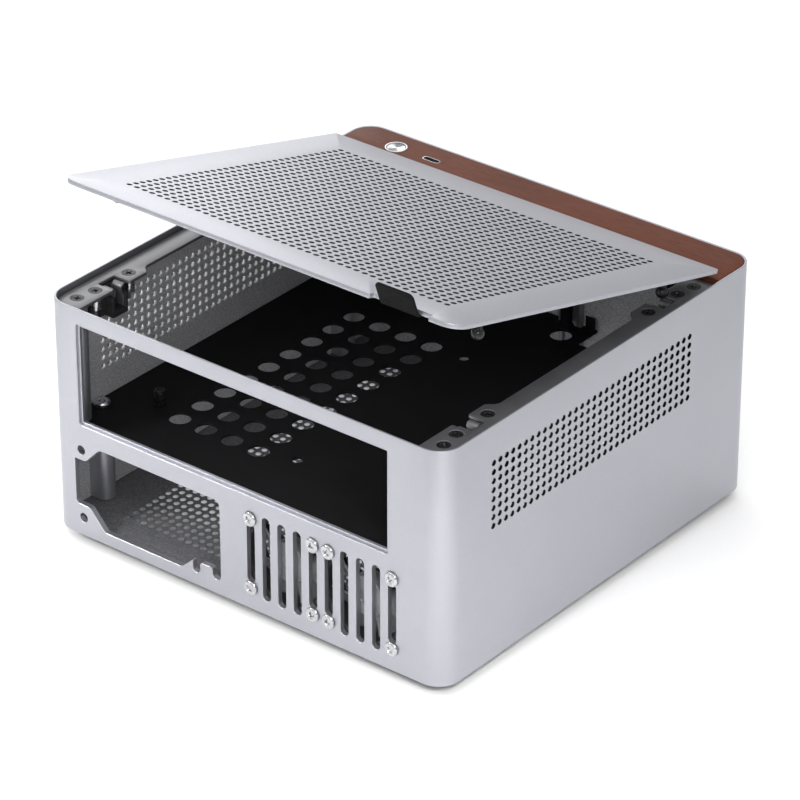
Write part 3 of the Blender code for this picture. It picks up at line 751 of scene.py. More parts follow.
@shared((0.86, 0.86, 0.88), 0.24, 1)
def spun_metal(finish):
    """Aluminium turned on a lathe, with fine rings round the button's middle, and a painted bow-tie
    reflection across its face.
    """
    spot = middle("button_cap")
    where = finish.place((1, 1, 1), (spot.x, spot.y, 0))
    parts = finish.node("ShaderNodeSeparateXYZ", Vector=where)
    flat = finish.node("ShaderNodeCombineXYZ", X=parts.outputs["X"], Y=parts.outputs["Y"]).outputs["Vector"]
    radius = finish.node("ShaderNodeVectorMath", operation="LENGTH", Vector=flat).outputs["Value"]
    rings = finish.sum("SINE", finish.sum("MULTIPLY", radius, 2 * math.pi / (0.16 * MM)), 0.0)
    # Painted reflection: two bright and two dark lobes round the middle, the bow-tie that spun metal shows
    # under the lamps.
    angle = finish.sum("ARCTAN2", parts.outputs["Y"], parts.outputs["X"])
    fans = finish.sum("SINE", finish.sum("MULTIPLY", finish.sum("ADD", angle, 0.6), 2.0), 0.0)
    bow_tie_reflection = finish.between(fans, 0, 1, -0.55, 0.75)
    finish.tint(bow_tie_reflection, (0.16, 0.165, 0.175), (0.7, 0.7, 0.72))
    finish.rough(rings, 0.2, 0.32, -1, 1)
    finish.bump(finish.between(rings, 0, 1, -1, 1), 0.01 * MM, 0.6)


@shared((0.85, 0.6, 0.25), 0.25, 1)
def socket_gold(finish):
    """Gold-plated contacts, a little uneven."""
    film = finish.noise(0.5 * MM)
    finish.tint(film, (0.75, 0.5, 0.2), (0.9, 0.68, 0.32))
    finish.rough(film, 0.2, 0.34)


@shared("board", 0.3)
def solder_mask(finish):
    """Dark green board with copper runs showing faintly through the mask."""
    runs = finish.node(
        "ShaderNodeTexBrick", Vector=finish.place(), Scale=1 / (2.4 * MM), offset=0.35, squash=0.6
    )
    runs.inputs["Mortar Size"].default_value = 0.012
    track = runs.outputs["Fac"]
    finish.tint(track, finish.colour, finish.lit(3.2))
    finish.bump(track, 0.03 * MM, 0.6)
    finish.rough(finish.noise(2 * MM), 0.24, 0.4)


@shared((0.9, 0.9, 0.9), 0.9)
def studio_floor(finish):
    """White paper sweep."""
    fibre = finish.noise(2 * MM, 3, 0.6)
    finish.tint(fibre, (0.9, 0.9, 0.9), (0.93, 0.93, 0.93))


# --- Fasteners --------------------------------------------------------------------------------------------


def cross_bar(size, depth, top, turn):
    """One tapered bar of a cross recess."""
    arm, half = size / 2, size * 0.14
    mesh = bmesh.new()
    mouth = outline(mesh, rectangle(-arm, arm, -half, half, half * 0.6), top + depth * 0.2, 3)
    far = pull(mesh, [mouth], (0, 0, -depth * 1.2))
    bmesh.ops.scale(mesh, vec=(0.6, 0.6, 1), verts=far[0].verts[:])
    bmesh.ops.transform(mesh, matrix=Matrix.Rotation(turn, 4, "Z"), verts=mesh.verts)
    return mesh


def crossed(mesh, size, depth, top):
    """A screw with a cross recess cut into its head."""
    for turn in (0, math.pi / 2):
        mesh = carved(mesh, cross_bar(size, depth, top, turn))
    return mesh


def pan_screw(head, height, shank, length):
    """A pan-head screw with its seat at height 0 and its head above."""
    dome = [(0, -length), (shank * 0.75, -length), (shank, -length + shank * 0.5), (shank, 0)]
    dome += [(head, 0), (head, height * 0.35)]
    steps = 6
    for step in range(1, steps):
        turn = math.pi / 2 * step / steps
        rise = height * (0.35 + 0.65 * math.sin(turn))
        dome.append((head * (0.62 + 0.38 * math.cos(turn)), rise))
    dome += [(head * 0.4, height), (0, height)]
    return crossed(turned(dome, 28), head * 1.12, height * 0.75, height)


def flat_screw(head, shank, length):
    """A countersunk screw with its head's flat top at height 0."""
    cone = head - shank
    profile = [(0, -length), (shank * 0.75, -length), (shank, -length + shank * 0.5)]
    profile += [(shank, -cone - 0.2 * MM), (head, -0.2 * MM), (head, -0.06 * MM)]
    profile += [(head - 0.06 * MM, 0), (0, 0)]
    return crossed(turned(profile, 28), head * 1.15, 1 * MM, 0)


# --- The ring ---------------------------------------------------------------------------------------------


def ring_solid(sizes):
    """The extrusion: outer wall, rim, ledge, inner wall and the recess for the base plate."""
    mesh = bmesh.new()
    corners = rectangle(SHELL_LOW.x, SHELL_HIGH.x, SHELL_LOW.y, SHELL_HIGH.y, sizes.corner)
    bottom = outline(mesh, corners, SHELL_LOW.z, 12)
    top = pull(mesh, [bottom], (0, 0, SHELL_HIGH.z - SHELL_LOW.z))[0]
    bottom = next(face for face in mesh.faces if on_level(face, 2, SHELL_LOW.z))
    recess = BASE_HIGH.z + 0.3 * MM - SHELL_LOW.z
    step_in(mesh, top, sizes.rim)
    top = pull(mesh, [top], (0, 0, -sizes.ledge))[0]
    step_in(mesh, top, sizes.wall - sizes.rim)
    step_in(mesh, bottom, sizes.rim)
    bottom = pull(mesh, [bottom], (0, 0, recess))[0]
    step_in(mesh, bottom, sizes.wall - sizes.rim)
    inner = pull(mesh, [bottom], (0, 0, SHELL_HIGH.z - SHELL_LOW.z - sizes.ledge - recess))[0]
    bmesh.ops.delete(mesh, geom=[top, inner], context="FACES_ONLY")
    bmesh.ops.remove_doubles(mesh, verts=mesh.verts, dist=TINY)
    bmesh.ops.recalc_face_normals(mesh, faces=mesh.faces)
    rims = [
        edge
        for edge in mesh.edges
        if (on_level(edge, 2, SHELL_HIGH.z) or on_level(edge, 2, SHELL_LOW.z))
        and edge.calc_face_angle(0) > math.radians(60)
    ]
    soften(mesh, rims, sizes.edge, 3)
    return mesh


def wall_frame(axis, outside):
    """A wall's own frame: X and Y run along it, and Z points out of it."""
    if axis == "y":
        return at(0, outside, 0) @ ALONG_Y
    side = Matrix.Diagonal((math.copysign(1, outside), 1, 1, 1))
    return at(outside, 0, 0) @ side @ ALONG_X


def window_corners(grow):
    """The socket window's outline in the rear wall, made larger all round by an amount."""
    x, z = 5.39 * MM, 80.7 * MM
    half_x, half_z = 158.75 * MM / 2 + grow, 44.45 * MM / 2 + grow
    return rectangle(x - half_x, x + half_x, z - half_z, z + half_z, 1.9 * MM)


def supply_corners():
    """The power supply's stepped opening, with its two cable notches along the bottom."""
    corners = (
        (89.3, 41, 0.4),
        (83.3, 41, 1),
        (75.5, 49.1, 1.6),
        (11, 49.1, 3),
        (11, 11.5, 2.2),
        (15.8, 11.5, 2.2),
        (15.8, 16.1, 1.2),
        (22.1, 16.1, 1.2),
        (22.1, 10.8, 1.8),
        (26.2, 10.8, 1.8),
        (26.2, 15.8, 0.6),
        (32.2, 10.4, 1.2),
        (73.7, 10.4, 1.2),
        (81.8, 19.4, 1),
        (88, 19.4, 1.2),
        (89.3, 20.7, 0.6),
    )
    return [(x * MM, z * MM, radius * MM) for x, z, radius in corners]


def fan_middles():
    return [(middle(f"fan_frame_{letter}").x, middle(f"fan_frame_{letter}").z) for letter in "ab"]


def rear_cuts(sizes):
    """Everything that is cut through the rear wall, in the wall's own frame."""
    lip = sizes.lip
    cuts = [shaped_hole(supply_corners(), sizes.wall, lip, 4)]
    for x, z in fan_middles():
        for step in range(-2, 3):
            low, high = (17.4, 45) if abs(step) == 2 else (11.5, 50.3)
            centre, half = x + step * SLOT_SPACING, 2.25 * MM
            slot = rectangle(centre - half, centre + half, low * MM, high * MM, half * 0.98)
            cuts.append(shaped_hole(slot, sizes.wall, lip, 8))
    for z in (13.5 * MM, 45.6 * MM):
        cuts.append(round_hole(85.4 * MM, z, 2.25 * MM, sizes.wall, lip))
    for number in range(1, 9):
        spot = middle(f"fan_screw_{number}")
        cuts.append(round_hole(spot.x, spot.z, 1.7 * MM, sizes.wall, lip, 16))
    window = bmesh.new()
    mouth = outline(window, window_corners(1.35 * MM), 0.0, 4)
    step_in(window, mouth, 0.25 * MM, -0.25 * MM)
    mouth = pull(window, [mouth], (0, 0, -0.85 * MM))[0]
    step_in(window, mouth, 1.1 * MM)
    tunnel(window, mouth, sizes.wall - 1.1 * MM, 0.15 * MM)
    cuts.append(window)
    return cuts


def aluminium_ring():
    """The ring with its rear openings and the fine holes in both sides."""
    sizes = bpy.context.scene.case_sizes
    mesh = ring_solid(sizes)
    rear, rear_inside = SHELL_HIGH.y, SHELL_HIGH.y - sizes.wall
    open_wall(mesh, 1, rear, rear_inside)
    for cut in rear_cuts(sizes):
        add(mesh, cut, wall_frame("y", rear))
    close_wall(mesh, 1, rear, rear_inside)
    for outside in (SHELL_LOW.x, SHELL_HIGH.x):
        inside = outside - math.copysign(sizes.wall, outside)
        open_wall(mesh, 0, outside, inside)
        field = hole_field(33, 8, sizes.pitch, sizes.side_hole, sizes.wall)
        add(mesh, field, wall_frame("x", outside) @ at(FIELD_ALONG, FIELD_UP, 0))
        close_wall(mesh, 0, outside, inside)
    bmesh.ops.recalc_face_normals(mesh, faces=mesh.faces)
    reach = Vector((SHELL_HIGH.x - sizes.wall + TINY, SHELL_HIGH.y - sizes.wall + TINY))
    for face in mesh.faces:
        spot = face.calc_center_median()
        within = abs(spot.x) < reach.x and abs(spot.y) < reach.y and spot.z < SHELL_HIGH.z - sizes.ledge
        drilled = abs(spot.x) > reach.x and abs(face.normal.x) < 0.1
        drilled = drilled and abs(spot.z - FIELD_UP) < FIELD_HALF
        drilled = drilled and abs(spot.y) < SHELL_HIGH.y - sizes.corner
        # Inner faces take the second finish, whose colour paints the light inside the case; drilled hole
        # walls take the third.
        face.material_index = 2 if drilled else int(within and face.normal.xy.dot(spot.xy) < 0)
    finishes = [anodised_silver(), inside_coat(), hole_wall()]
    return piece("aluminium_ring", mesh, CASE, finishes, ["shell"], 30)


def boss_mesh(height, radius, back):
    """A half-round column with a flat back, from height 0 up, and a threaded bore in its top."""
    mesh = bmesh.new()
    corners = rectangle(-radius, back, -radius, radius)
    corners = [(x, y, radius * 0.98 if x < 0 else 0.0) for x, y, _ in corners]
    pull(mesh, [outline(mesh, corners, 0.0, 10)], (0, 0, height))
    open_wall(mesh, 2, height)
    depth = 9 * MM
    bore = round_hole(0, 0, 1.9 * MM, depth, 0.35 * MM, 20)
    floor = [edge for edge in bore.edges if on_level(edge, 2, -depth)]
    bmesh.ops.edgeloop_fill(bore, edges=floor)
    add(mesh, bore, at(0, 0, height))
    close_wall(mesh, 2, height)
    return mesh


def add_boss(mesh, node, low, high, radius):
    """Stands a screw's column against the side wall next to it."""
    spot = middle(node)
    inside = SHELL_HIGH.x - bpy.context.scene.case_sizes.wall
    column = boss_mesh(high - low, radius, inside - abs(spot.x) - 0.02 * MM)
    turn = Matrix.Diagonal((math.copysign(1, spot.x), 1, 1, 1))
    add(mesh, column, at(spot.x, spot.y, low) @ turn)


def screw_bosses():
    """Four columns under the tray, four under the rails' ends, and the rib on the front wall."""
    low = BASE_HIGH.z + 0.6 * MM
    mesh = bmesh.new()
    for place in CORNERS:
        add_boss(mesh, f"tray_screw_{place}", low, TRAY_LOW.z - 0.3 * MM, 4.4 * MM)
    front = SHELL_LOW.y + bpy.context.scene.case_sizes.wall
    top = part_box("front_bracket")[1].z - 1.5 * MM
    for left, right in ((-18, -15.6), (-8.4, -6)):
        rib = rectangle(left * MM, right * MM, front + 0.02 * MM, front + 2.3 * MM, 0.4 * MM)
        add(mesh, slab(rib, low, top, 0.15 * MM, 3))
    web = rectangle(-16 * MM, -8 * MM, front + 0.02 * MM, front + 0.9 * MM)
    add(mesh, slab(web, low, top))
    low, high = TRAY_HIGH.z + 0.4 * MM, RAIL_HIGH.z - 1.7 * MM
    for side_name, _ in SIDES:
        for number in (1, 4):
            add_boss(mesh, f"rail_screw_{side_name}_{number}", low, high, 3.9 * MM)
    return piece("screw_bosses", mesh, CASE, [anodised_silver()], (), 30)


# --- Base -------------------------------------------------------------------------------------------------


def line_holes(mesh, low, high, margin):
    """Gives the hole walls of a flat panel its second finish, further than a margin from the edges."""
    bmesh.ops.recalc_face_normals(mesh, faces=mesh.faces)
    for face in mesh.faces:
        spot = face.calc_center_median()
        inner = low.x + margin < spot.x < high.x - margin and low.y + margin < spot.y < high.y - margin
        face.material_index = int(inner and abs(face.normal.z) < 0.1)


def bottom_plate():
    """The perforated plate that closes the bottom of the ring."""
    sizes = bpy.context.scene.case_sizes
    radius = sizes.corner - 1.8 * MM
    corners = rectangle(BASE_LOW.x, BASE_HIGH.x, BASE_LOW.y, BASE_HIGH.y, radius)
    mesh = slab(corners, BASE_LOW.z, BASE_HIGH.z, 0.15 * MM, 8)
    field = hole_field(39, 43, sizes.pitch, sizes.base_hole, BASE_HIGH.z - BASE_LOW.z)
    pierce(mesh, BASE_LOW.z, BASE_HIGH.z, [moved(field, 0, 0.3 * MM, 0)])
    line_holes(mesh, BASE_LOW, BASE_HIGH, 8 * MM)
    finishes = [base_coat(), hole_wall()]
    return piece("bottom_plate", mesh, CASE, finishes, ["base_plate"], 30)


def rubber_feet():
    """Four stepped round feet with a screw well underneath."""
    for place in CORNERS:
        node = f"foot_{place}"
        low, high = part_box(node)
        radius, height = (high.x - low.x) / 2, high.z
        well, depth, neck = 2.6 * MM, 1.6 * MM, radius - 0.6 * MM
        profile = [(0, depth), (well, depth), (well, 0), (radius - 0.2 * MM, 0), (radius, 0.2 * MM)]
        profile += [(radius, height * 0.55), (neck, height * 0.62), (neck, height), (0, height)]
        mesh = turned(profile, 48, 0.3 * MM)
        spot = middle(node)
        moved(mesh, spot.x, spot.y, 0)
        piece(f"rubber_{node}", mesh, CASE, [foot_rubber()], [node], 40)


def base_screws():
    """Low screws that hold the bottom plate to the columns, in the recess under it."""
    pattern = pan_screw(2.9 * MM, 1.2 * MM, 1.2 * MM, 1.5 * MM)
    mesh = bmesh.new()
    down = Matrix.Rotation(math.pi, 4, "X")
    for place in CORNERS:
        spot = middle(f"tray_screw_{place}")
        add(mesh, pattern.copy(), at(spot.x, spot.y, BASE_LOW.z) @ down)
    pattern.free()
    return piece("base_screws", mesh, CASE, [black_oxide()])


# --- Tray -------------------------------------------------------------------------------------------------


def tray_corners(sizes):
    """The tray's outline, with its cable cut-out and the notch round the front rib."""
    low, high = TRAY_LOW, TRAY_HIGH
    round_corner = sizes.corner - sizes.wall - 0.3 * MM
    front = (
        (-60, None, 0.5),
        (-60, -85.3, 1),
        (-25.7, -85.3, 1),
        (-25.7, None, 0.5),
        (-18.6, None, 0.4),
        (-18.6, -97.6, 0.5),
        (-5.4, -97.6, 0.5),
        (-5.4, None, 0.4),
    )
    corners = [(low.x, low.y, round_corner)]
    corners += [(x * MM, low.y if y is None else y * MM, radius * MM) for x, y, radius in front]
    rest = ((high.x, low.y), (high.x, high.y), (low.x, high.y))
    return corners + [(x, y, round_corner) for x, y in rest]


def tray_holes(sizes, depth):
    """Vent holes in a four by nine grid, and the single screw and cable holes."""
    spacing = 14.05
    holes = []
    for column in range(4):
        for row in range(9):
            x, y = (21 + spacing * column) * MM, (67 - spacing * row) * MM
            holes.append(round_hole(x, y, sizes.vent / 2, depth, 0.2 * MM, 32))
    holes += [round_hole(4 * MM, y * MM, 2.4 * MM, depth, 0.25 * MM) for y in (62.7, -46)]
    holes.append(round_hole(-15.6 * MM, -87.5 * MM, 5 * MM, depth, 0.2 * MM, 32))
    return holes


def board_tray():
    """The coated steel tray, with a bent-up tab beside its cut-out."""
    sizes = bpy.context.scene.case_sizes
    mesh = slab(tray_corners(sizes), TRAY_LOW.z, TRAY_HIGH.z, 0.12 * MM, 6)
    pierce(mesh, TRAY_LOW.z, TRAY_HIGH.z, tray_holes(sizes, TRAY_HIGH.z - TRAY_LOW.z))
    bend = TRAY_HIGH.z + 1.2 * MM
    path = [(-96 * MM, TRAY_HIGH.z + 0.02 * MM)] + arc(-98 * MM, bend, 1 * MM, -90, -180, 5)
    path += [(-99 * MM, TRAY_HIGH.z + 6 * MM)]
    tab = swept(path, 4.5 * MM, 0.9 * MM, -22.75 * MM)
    add(mesh, soften_sharp(tab, 0.12 * MM))
    return piece("board_tray", mesh, CASE, [black_steel()], ["motherboard_tray"], 30)


def board_standoffs():
    """Hexagonal standoffs with a turned shoulder and a tapped hole."""
    for number in range(1, 5):
        node = f"standoff_{number}"
        low, spot, high = span(node)
        mesh = bmesh.new()
        body = disc(mesh, 0, 0, (high.x - low.x) / 2, 6)
        shoulder = high.z - 0.5 * MM
        pull(mesh, [body], (0, 0, shoulder - low.z))
        turn = Matrix.Rotation(math.pi / 6, 3, "Z")
        bmesh.ops.rotate(mesh, verts=mesh.verts, cent=(0, 0, 0), matrix=turn)
        soften_sharp(mesh, 0.2 * MM, 2, 40)
        ring = [(1.3 * MM, 0), (2.1 * MM, 0), (2.1 * MM, 0.5 * MM), (1.3 * MM, 0.5 * MM)]
        add(mesh, turned(ring, 28, 0.1 * MM), at(0, 0, shoulder - low.z))
        moved(mesh, spot.x, spot.y, low.z)
        piece(f"board_standoff_{number}", mesh, CASE, [black_oxide()], [node], 30)


def tray_fixings():
    """Bright washer-head screws that hold the tray to the columns."""
    pattern = pan_screw(3.7 * MM, 2.1 * MM, 1.45 * MM, 7.8 * MM)
    for place in CORNERS:
        node = f"tray_screw_{place}"
        spot = middle(node)
        mesh = copy_of(pattern, at(spot.x, spot.y, TRAY_HIGH.z + 0.3 * MM))
        piece(f"tray_fixing_{place}", mesh, CASE, [bright_steel()], [node], 40)
    pattern.free()


# --- Rails and ball catches -------------------------------------------------------------------------------


def rail_corners(side):
    """A narrow bar with a wide tab at each end, and a notch in each tab for the ball catch."""
    half_notch, tab_end, bar_start = 4.9, 47.4, 44.2
    bar, tab, root = 91, 87, 95.5
    centre, reach = 10.8, 62.8
    wall, rear, front = RAIL_HIGH.x / MM, RAIL_HIGH.y / MM, RAIL_LOW.y / MM
    notch = ((tab, half_notch), (root, half_notch), (root, -half_notch), (tab, -half_notch))
    rear_notch = [(x, centre + reach + y, 0.8) for x, y in notch]
    front_notch = [(x, centre - reach + y, 0.8) for x, y in notch]
    corners = [(wall, front, 0), (wall, rear, 8.2), (tab, rear, 0.3), *rear_notch]
    corners += [(tab, centre + tab_end, 1), (bar, centre + bar_start, 2)]
    corners += [(bar, centre - bar_start, 2), (tab, centre - tab_end, 1), *front_notch]
    corners += [(tab, front, 0.3)]
    placed = [(side * x * MM, y * MM, radius * MM) for x, y, radius in corners]
    return placed if side > 0 else placed[::-1]


def lid_rail(side_name, side):
    """A sheet-metal rail with six countersunk holes."""
    thickness = 1.4 * MM
    low, high = RAIL_HIGH.z - thickness, RAIL_HIGH.z
    mesh = slab(rail_corners(side), low, high, 0.15 * MM, 5)
    holes = []
    for number in range(1, 7):
        spot = middle(f"rail_screw_{side_name}_{number}")
        mouth = bmesh.new()
        rim = disc(mouth, spot.x, spot.y, 3.05 * MM, 28)
        sink = 1.25 * MM
        step_in(mouth, rim, sink, -sink)
        far = pull(mouth, [rim], (0, 0, sink - thickness))
        bmesh.ops.delete(mouth, geom=far, context="FACES_ONLY")
        holes.append(mouth)
    pierce(mesh, low, high, holes)
    name, nodes = f"lid_rail_{side_name}", [f"rail_{side_name}"]
    return piece(name, mesh, CASE, [graphite_metal()], nodes, 30)


def rail_posts(side_name):
    """The bright round posts that the rail is screwed to."""
    mesh = bmesh.new()
    for number in (2, 3, 5, 6):
        spot = middle(f"rail_screw_{side_name}_{number}")
        top = RAIL_HIGH.z - 1.45 * MM
        profile = [(1.5 * MM, -7 * MM), (2.4 * MM, -7 * MM), (2.4 * MM, 0), (1.5 * MM, 0)]
        add(mesh, turned(profile, 28, 0.2 * MM), at(spot.x, spot.y, top))
    return piece(f"rail_posts_{side_name}", mesh, CASE, [bright_steel()], (), 40)


def both_rails():
    for side_name, side in SIDES:
        lid_rail(side_name, side)
        rail_posts(side_name)


def rail_fixings():
    """Blackened countersunk screws in both rails."""
    pattern = flat_screw(2.9 * MM, 1.35 * MM, 8.9 * MM)
    for side_name, _ in SIDES:
        for number in range(1, 7):
            node = f"rail_screw_{side_name}_{number}"
            spot = middle(node)
            turn = Matrix.Rotation(0.5 * number, 4, "Z")
            mesh = copy_of(pattern, at(spot.x, spot.y, RAIL_HIGH.z - 0.1 * MM) @ turn)
            name = f"rail_fixing_{side_name}_{number}"
            piece(name, mesh, CASE, [black_oxide()], [node], 35)
    pattern.free()


def upright_bore(spot, radius, floor, segments):
    """A cutter for a bore that is open at the top."""
    top = 120 * MM
    bore = turned([(0, floor), (radius, floor), (radius, top), (0, top)], segments)
    return moved(bore, spot.x, spot.y, 0)


def catch_block(name, spot, low, high):
    """A moulded block, hollowed for the rail's posts and the ball, with a cup between two cheeks."""
    side = math.copysign(1, spot.x)
    inner, outer = min(abs(low.x), abs(high.x)), max(abs(low.x), abs(high.x))
    half = 12.6 * MM
    plate = rectangle(spot.y - half, spot.y + half, low.z, RAIL_LOW.z + 6.7 * MM, 1 * MM)
    block = slab(plate, side * (outer - 6 * MM), side * outer, 0.3 * MM, 4)
    bmesh.ops.transform(block, matrix=ALONG_X, verts=block.verts)
    end, side_name = name.split("_")
    for number in (2, 3) if end == "rear" else (5, 6):
        post = middle(f"rail_screw_{side_name}_{number}")
        block = carved(block, upright_bore(post, 2.7 * MM, low.z - 1 * MM, 28))
    ball_low, ball, _ = shut_span(f"ball_stud_{name}")
    mesh = add(bmesh.new(), carved(block, upright_bore(ball, 3.1 * MM, ball_low.z - 0.6 * MM, 32)))
    near, far = side * inner, side * (outer - 5.7 * MM)
    cup = rectangle(spot.y - 4.5 * MM, spot.y + 4.5 * MM, low.z, low.z + 2.4 * MM, 0.4 * MM)
    add(mesh, slab(cup, near, far, 0.2 * MM, 4), ALONG_X)
    for way in (-1, 1):
        left, right = sorted((spot.y + way * 3.3 * MM, spot.y + way * 4.5 * MM))
        cheek = rectangle(left, right, low.z + 2.2 * MM, high.z - 4 * MM, 0.3 * MM)
        add(mesh, slab(cheek, near, far, 0.2 * MM, 4), ALONG_X)
    nodes = [f"ball_catch_{name}"]
    return piece(f"catch_block_{name}", mesh, CASE, [black_plastic()], nodes, 35)


def catch_leaf(low, high, width, way):
    """One spring leaf: up from the floor, in over the ball, and rolled out at the lip."""
    path = [(3.0 * MM, low), (3.05 * MM, low + 3 * MM), (2.9 * MM, low + 5.2 * MM)]
    path += [(2.2 * MM, high - 4.6 * MM)]
    path += arc(3.35 * MM, high - 2.4 * MM, 1.8 * MM, 200, 60, 9)
    return soften_sharp(swept([(way * y, z) for y, z in path], width, 0.28 * MM), 0.06 * MM)


def ball_catches():
    """Four catch blocks behind the rails, each with a sprung pair of leaves for a ball."""
    for name in CORNERS:
        node = f"ball_catch_{name}"
        low, spot, high = span(node)
        catch_block(name, spot, low, high)
        inner = min(abs(low.x), abs(high.x))
        leaves = bmesh.new()
        for way in (-1, 1):
            add(leaves, catch_leaf(low.z + 2.5 * MM, high.z, 5.2 * MM, way), at(0, spot.y, 0))
        moved(leaves, math.copysign(inner + 3.6 * MM, spot.x), 0, 0)
        piece(f"catch_leaves_{name}", leaves, CASE, [graphite_metal()], (), 50)


# --- Lid --------------------------------------------------------------------------------------------------


def lid_corners(low, high):
    """The lid's outline when it is shut, with the notch for the pull tab in its rear edge."""
    half, depth = 14.2 * MM, 3.2 * MM
    centre = shut_span("pull_tab")[1].x - 0.5 * MM
    inside = high.y - depth
    return [
        (low.x, low.y, 1 * MM),
        (high.x, low.y, 1 * MM),
        (high.x, high.y, 8 * MM),
        (centre + half, high.y, 0.5 * MM),
        (centre + half, inside, 1 * MM),
        (centre - half, inside, 1 * MM),
        (centre - half, high.y, 0.5 * MM),
        (low.x, high.y, 8 * MM),
    ]


def perforated_lid():
    """The lid panel, cut from sheet with a chamfered edge and a field of fine holes."""
    sizes = bpy.context.scene.case_sizes
    low, _, high = shut_span("lid_panel")
    mesh = slab(lid_corners(low, high), low.z, high.z, 0.3 * MM, 8)
    field = hole_field(41, 35, sizes.pitch, sizes.lid_hole, high.z - low.z)
    field_middle = low.y + (20.96 + 158.7) / 2 * MM
    pierce(mesh, low.z, high.z, [moved(field, 0, field_middle, 0)])
    line_holes(mesh, low, high, 15 * MM)
    finishes = [anodised_silver(), shaded_bore()]
    return piece("perforated_lid", tilted(mesh), LID, finishes, ["lid_panel"], 30)


def stud_balls():
    """Ball studs under the lid, each on a flanged foot."""
    radius, neck, foot, steps = 2.7 * MM, 1.3 * MM, 2.2 * MM, 14
    for place in CORNERS:
        node = f"ball_stud_{place}"
        low, spot, high = shut_span(node)
        ball = low.z + radius
        profile = [(0, low.z)]
        for step in range(1, steps):
            turn = -math.pi / 2 + math.radians(148) * step / (steps - 1)
            profile.append((radius * math.cos(turn), ball + radius * math.sin(turn)))
        profile += [(neck, ball + 3.1 * MM), (neck, high.z - 0.9 * MM), (foot, high.z - 0.6 * MM)]
        profile += [(foot, high.z), (0, high.z)]
        mesh = tilted(moved(turned(profile, 32), spot.x, spot.y, 0))
        piece(f"stud_{place}", mesh, LID, [glossy_black()], [node], 40)


def pull_strap():
    """A leather strap fixed under the lid, which comes up through the notch and leans to the rear."""
    low, centre, high = shut_span("pull_tab")
    lid_low, _, lid_high = shut_span("lid_panel")
    thickness, lean = 1.0 * MM, math.radians(35)
    stand = lid_high.y - 1.4 * MM
    under = lid_low.z - 0.85 * MM
    bend = 1.6 * MM
    path = [(stand - 12 * MM, under), (stand - 7 * MM, under)]
    path += arc(stand - bend, under + bend, bend, -90, -35, 6)
    foot_y, foot_z = path[-1]
    length = (high.z - 0.75 * MM - foot_z) / math.cos(lean)
    path += [
        (foot_y + math.sin(lean) * length * share, foot_z + math.cos(lean) * length * share)
        for share in (0.25, 0.5, 0.75, 1.0)
    ]
    mesh = ribbon(path, high.x - low.x - 1.2 * MM, centre.x + 0.5 * MM)
    ends = [point for point in mesh.verts if abs(point.co.z - path[-1][1]) < TINY]
    round_points(mesh, ends, 2.2 * MM, 5)
    soften_sharp(thicken(mesh, thickness), 0.22 * MM)
    return piece("pull_strap", tilted(mesh), LID, [tab_leather()], ["pull_tab"], 40)


# --- Front strip and controls -----------------------------------------------------------------------------


def socket_corners(half_x, half_y, radius):
    spot = middle("usb_c_shell")
    return rectangle(spot.x - half_x, spot.x + half_x, spot.y - half_y, spot.y + half_y, radius)


def walnut_strip():
    """The wood strip, let into the rim, with its two openings."""
    sizes = bpy.context.scene.case_sizes
    low, high = TRIM_LOW, TRIM_HIGH
    reach, front = SHELL_HIGH.x - sizes.rim - 0.2 * MM, SHELL_LOW.y + sizes.rim + 0.2 * MM
    corner = sizes.corner - sizes.rim - 0.2 * MM
    corners = [(-reach, front, corner), (reach, front, corner), (reach, high.y, 0.4 * MM)]
    corners += [(-reach, high.y, 0.4 * MM)]
    mesh = slab(corners, low.z, high.z, 0.2 * MM, 10)
    depth = high.z - low.z
    button = middle("button_cap")
    holes = [round_hole(button.x, button.y, 5.2 * MM, depth, 0.12 * MM, 48)]
    holes.append(shaped_hole(socket_corners(4.62 * MM, 1.78 * MM, 1.76 * MM), depth, 0.1 * MM, 8))
    pierce(mesh, low.z, high.z, holes)
    return piece("walnut_strip", mesh, CASE, [oiled_walnut()], ["wood_trim"], 35)


def control_bracket():
    """The bracket under the strip: a flanged plate on two legs, with low walls that back the wood."""
    low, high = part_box("front_bracket")
    corners = rectangle(low.x, high.x, low.y, high.y, 4 * MM)
    mesh = slab(corners, high.z - 1.2 * MM, high.z, 0.2 * MM, 6)
    wall = rectangle(low.x + 1 * MM, high.x - 1 * MM, high.y - 1.6 * MM, high.y - 0.2 * MM, 0.3 * MM)
    add(mesh, slab(wall, high.z - 0.6 * MM, TRIM_LOW.z - 0.3 * MM, 0.15 * MM, 3))
    for x in (-13.5 * MM, 38 * MM):
        profile = [(0, low.z), (3.4 * MM, low.z), (3.4 * MM, low.z + 1 * MM), (2.6 * MM, low.z + 1.5 * MM)]
        profile += [(2.6 * MM, high.z - 1.2 * MM), (0, high.z - 1.2 * MM)]
        add(mesh, turned(profile, 32, 0.15 * MM), at(x, -94 * MM, 0))
    return piece("control_bracket", mesh, CASE, [black_steel()], ["front_bracket"], 35)


def control_board():
    """The small circuit board, with chips, a connector and rows of small parts."""
    low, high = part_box("front_io_board")
    mesh = slab(rectangle(low.x, high.x, low.y, high.y, 1 * MM), low.z, high.z, 0.08 * MM, 4)
    board = piece("control_board", mesh, CASE, [solder_mask()], ["front_io_board"], 35)
    parts = bmesh.new()
    chip = rectangle(64.5 * MM, 70 * MM, -94 * MM, -88.5 * MM, 0.2 * MM)
    add(parts, slab(chip, high.z + 0.02 * MM, high.z + 1.1 * MM, 0.1 * MM, 2))
    plug = rectangle(49.2 * MM, 52.2 * MM, -97 * MM, -86.5 * MM, 0.2 * MM)
    add(parts, slab(plug, high.z + 0.02 * MM, high.z + 4 * MM, 0.15 * MM, 2))
    for step in range(8):
        x = (63.5 + 1.7 * step) * MM
        small = rectangle(x, x + 0.8 * MM, -86.4 * MM, -84.8 * MM, 0.05 * MM)
        add(parts, slab(small, high.z + 0.02 * MM, high.z + 0.5 * MM, 0.05 * MM, 2))
    piece("board_parts", parts, CASE, [black_plastic()], (), 35)
    return board


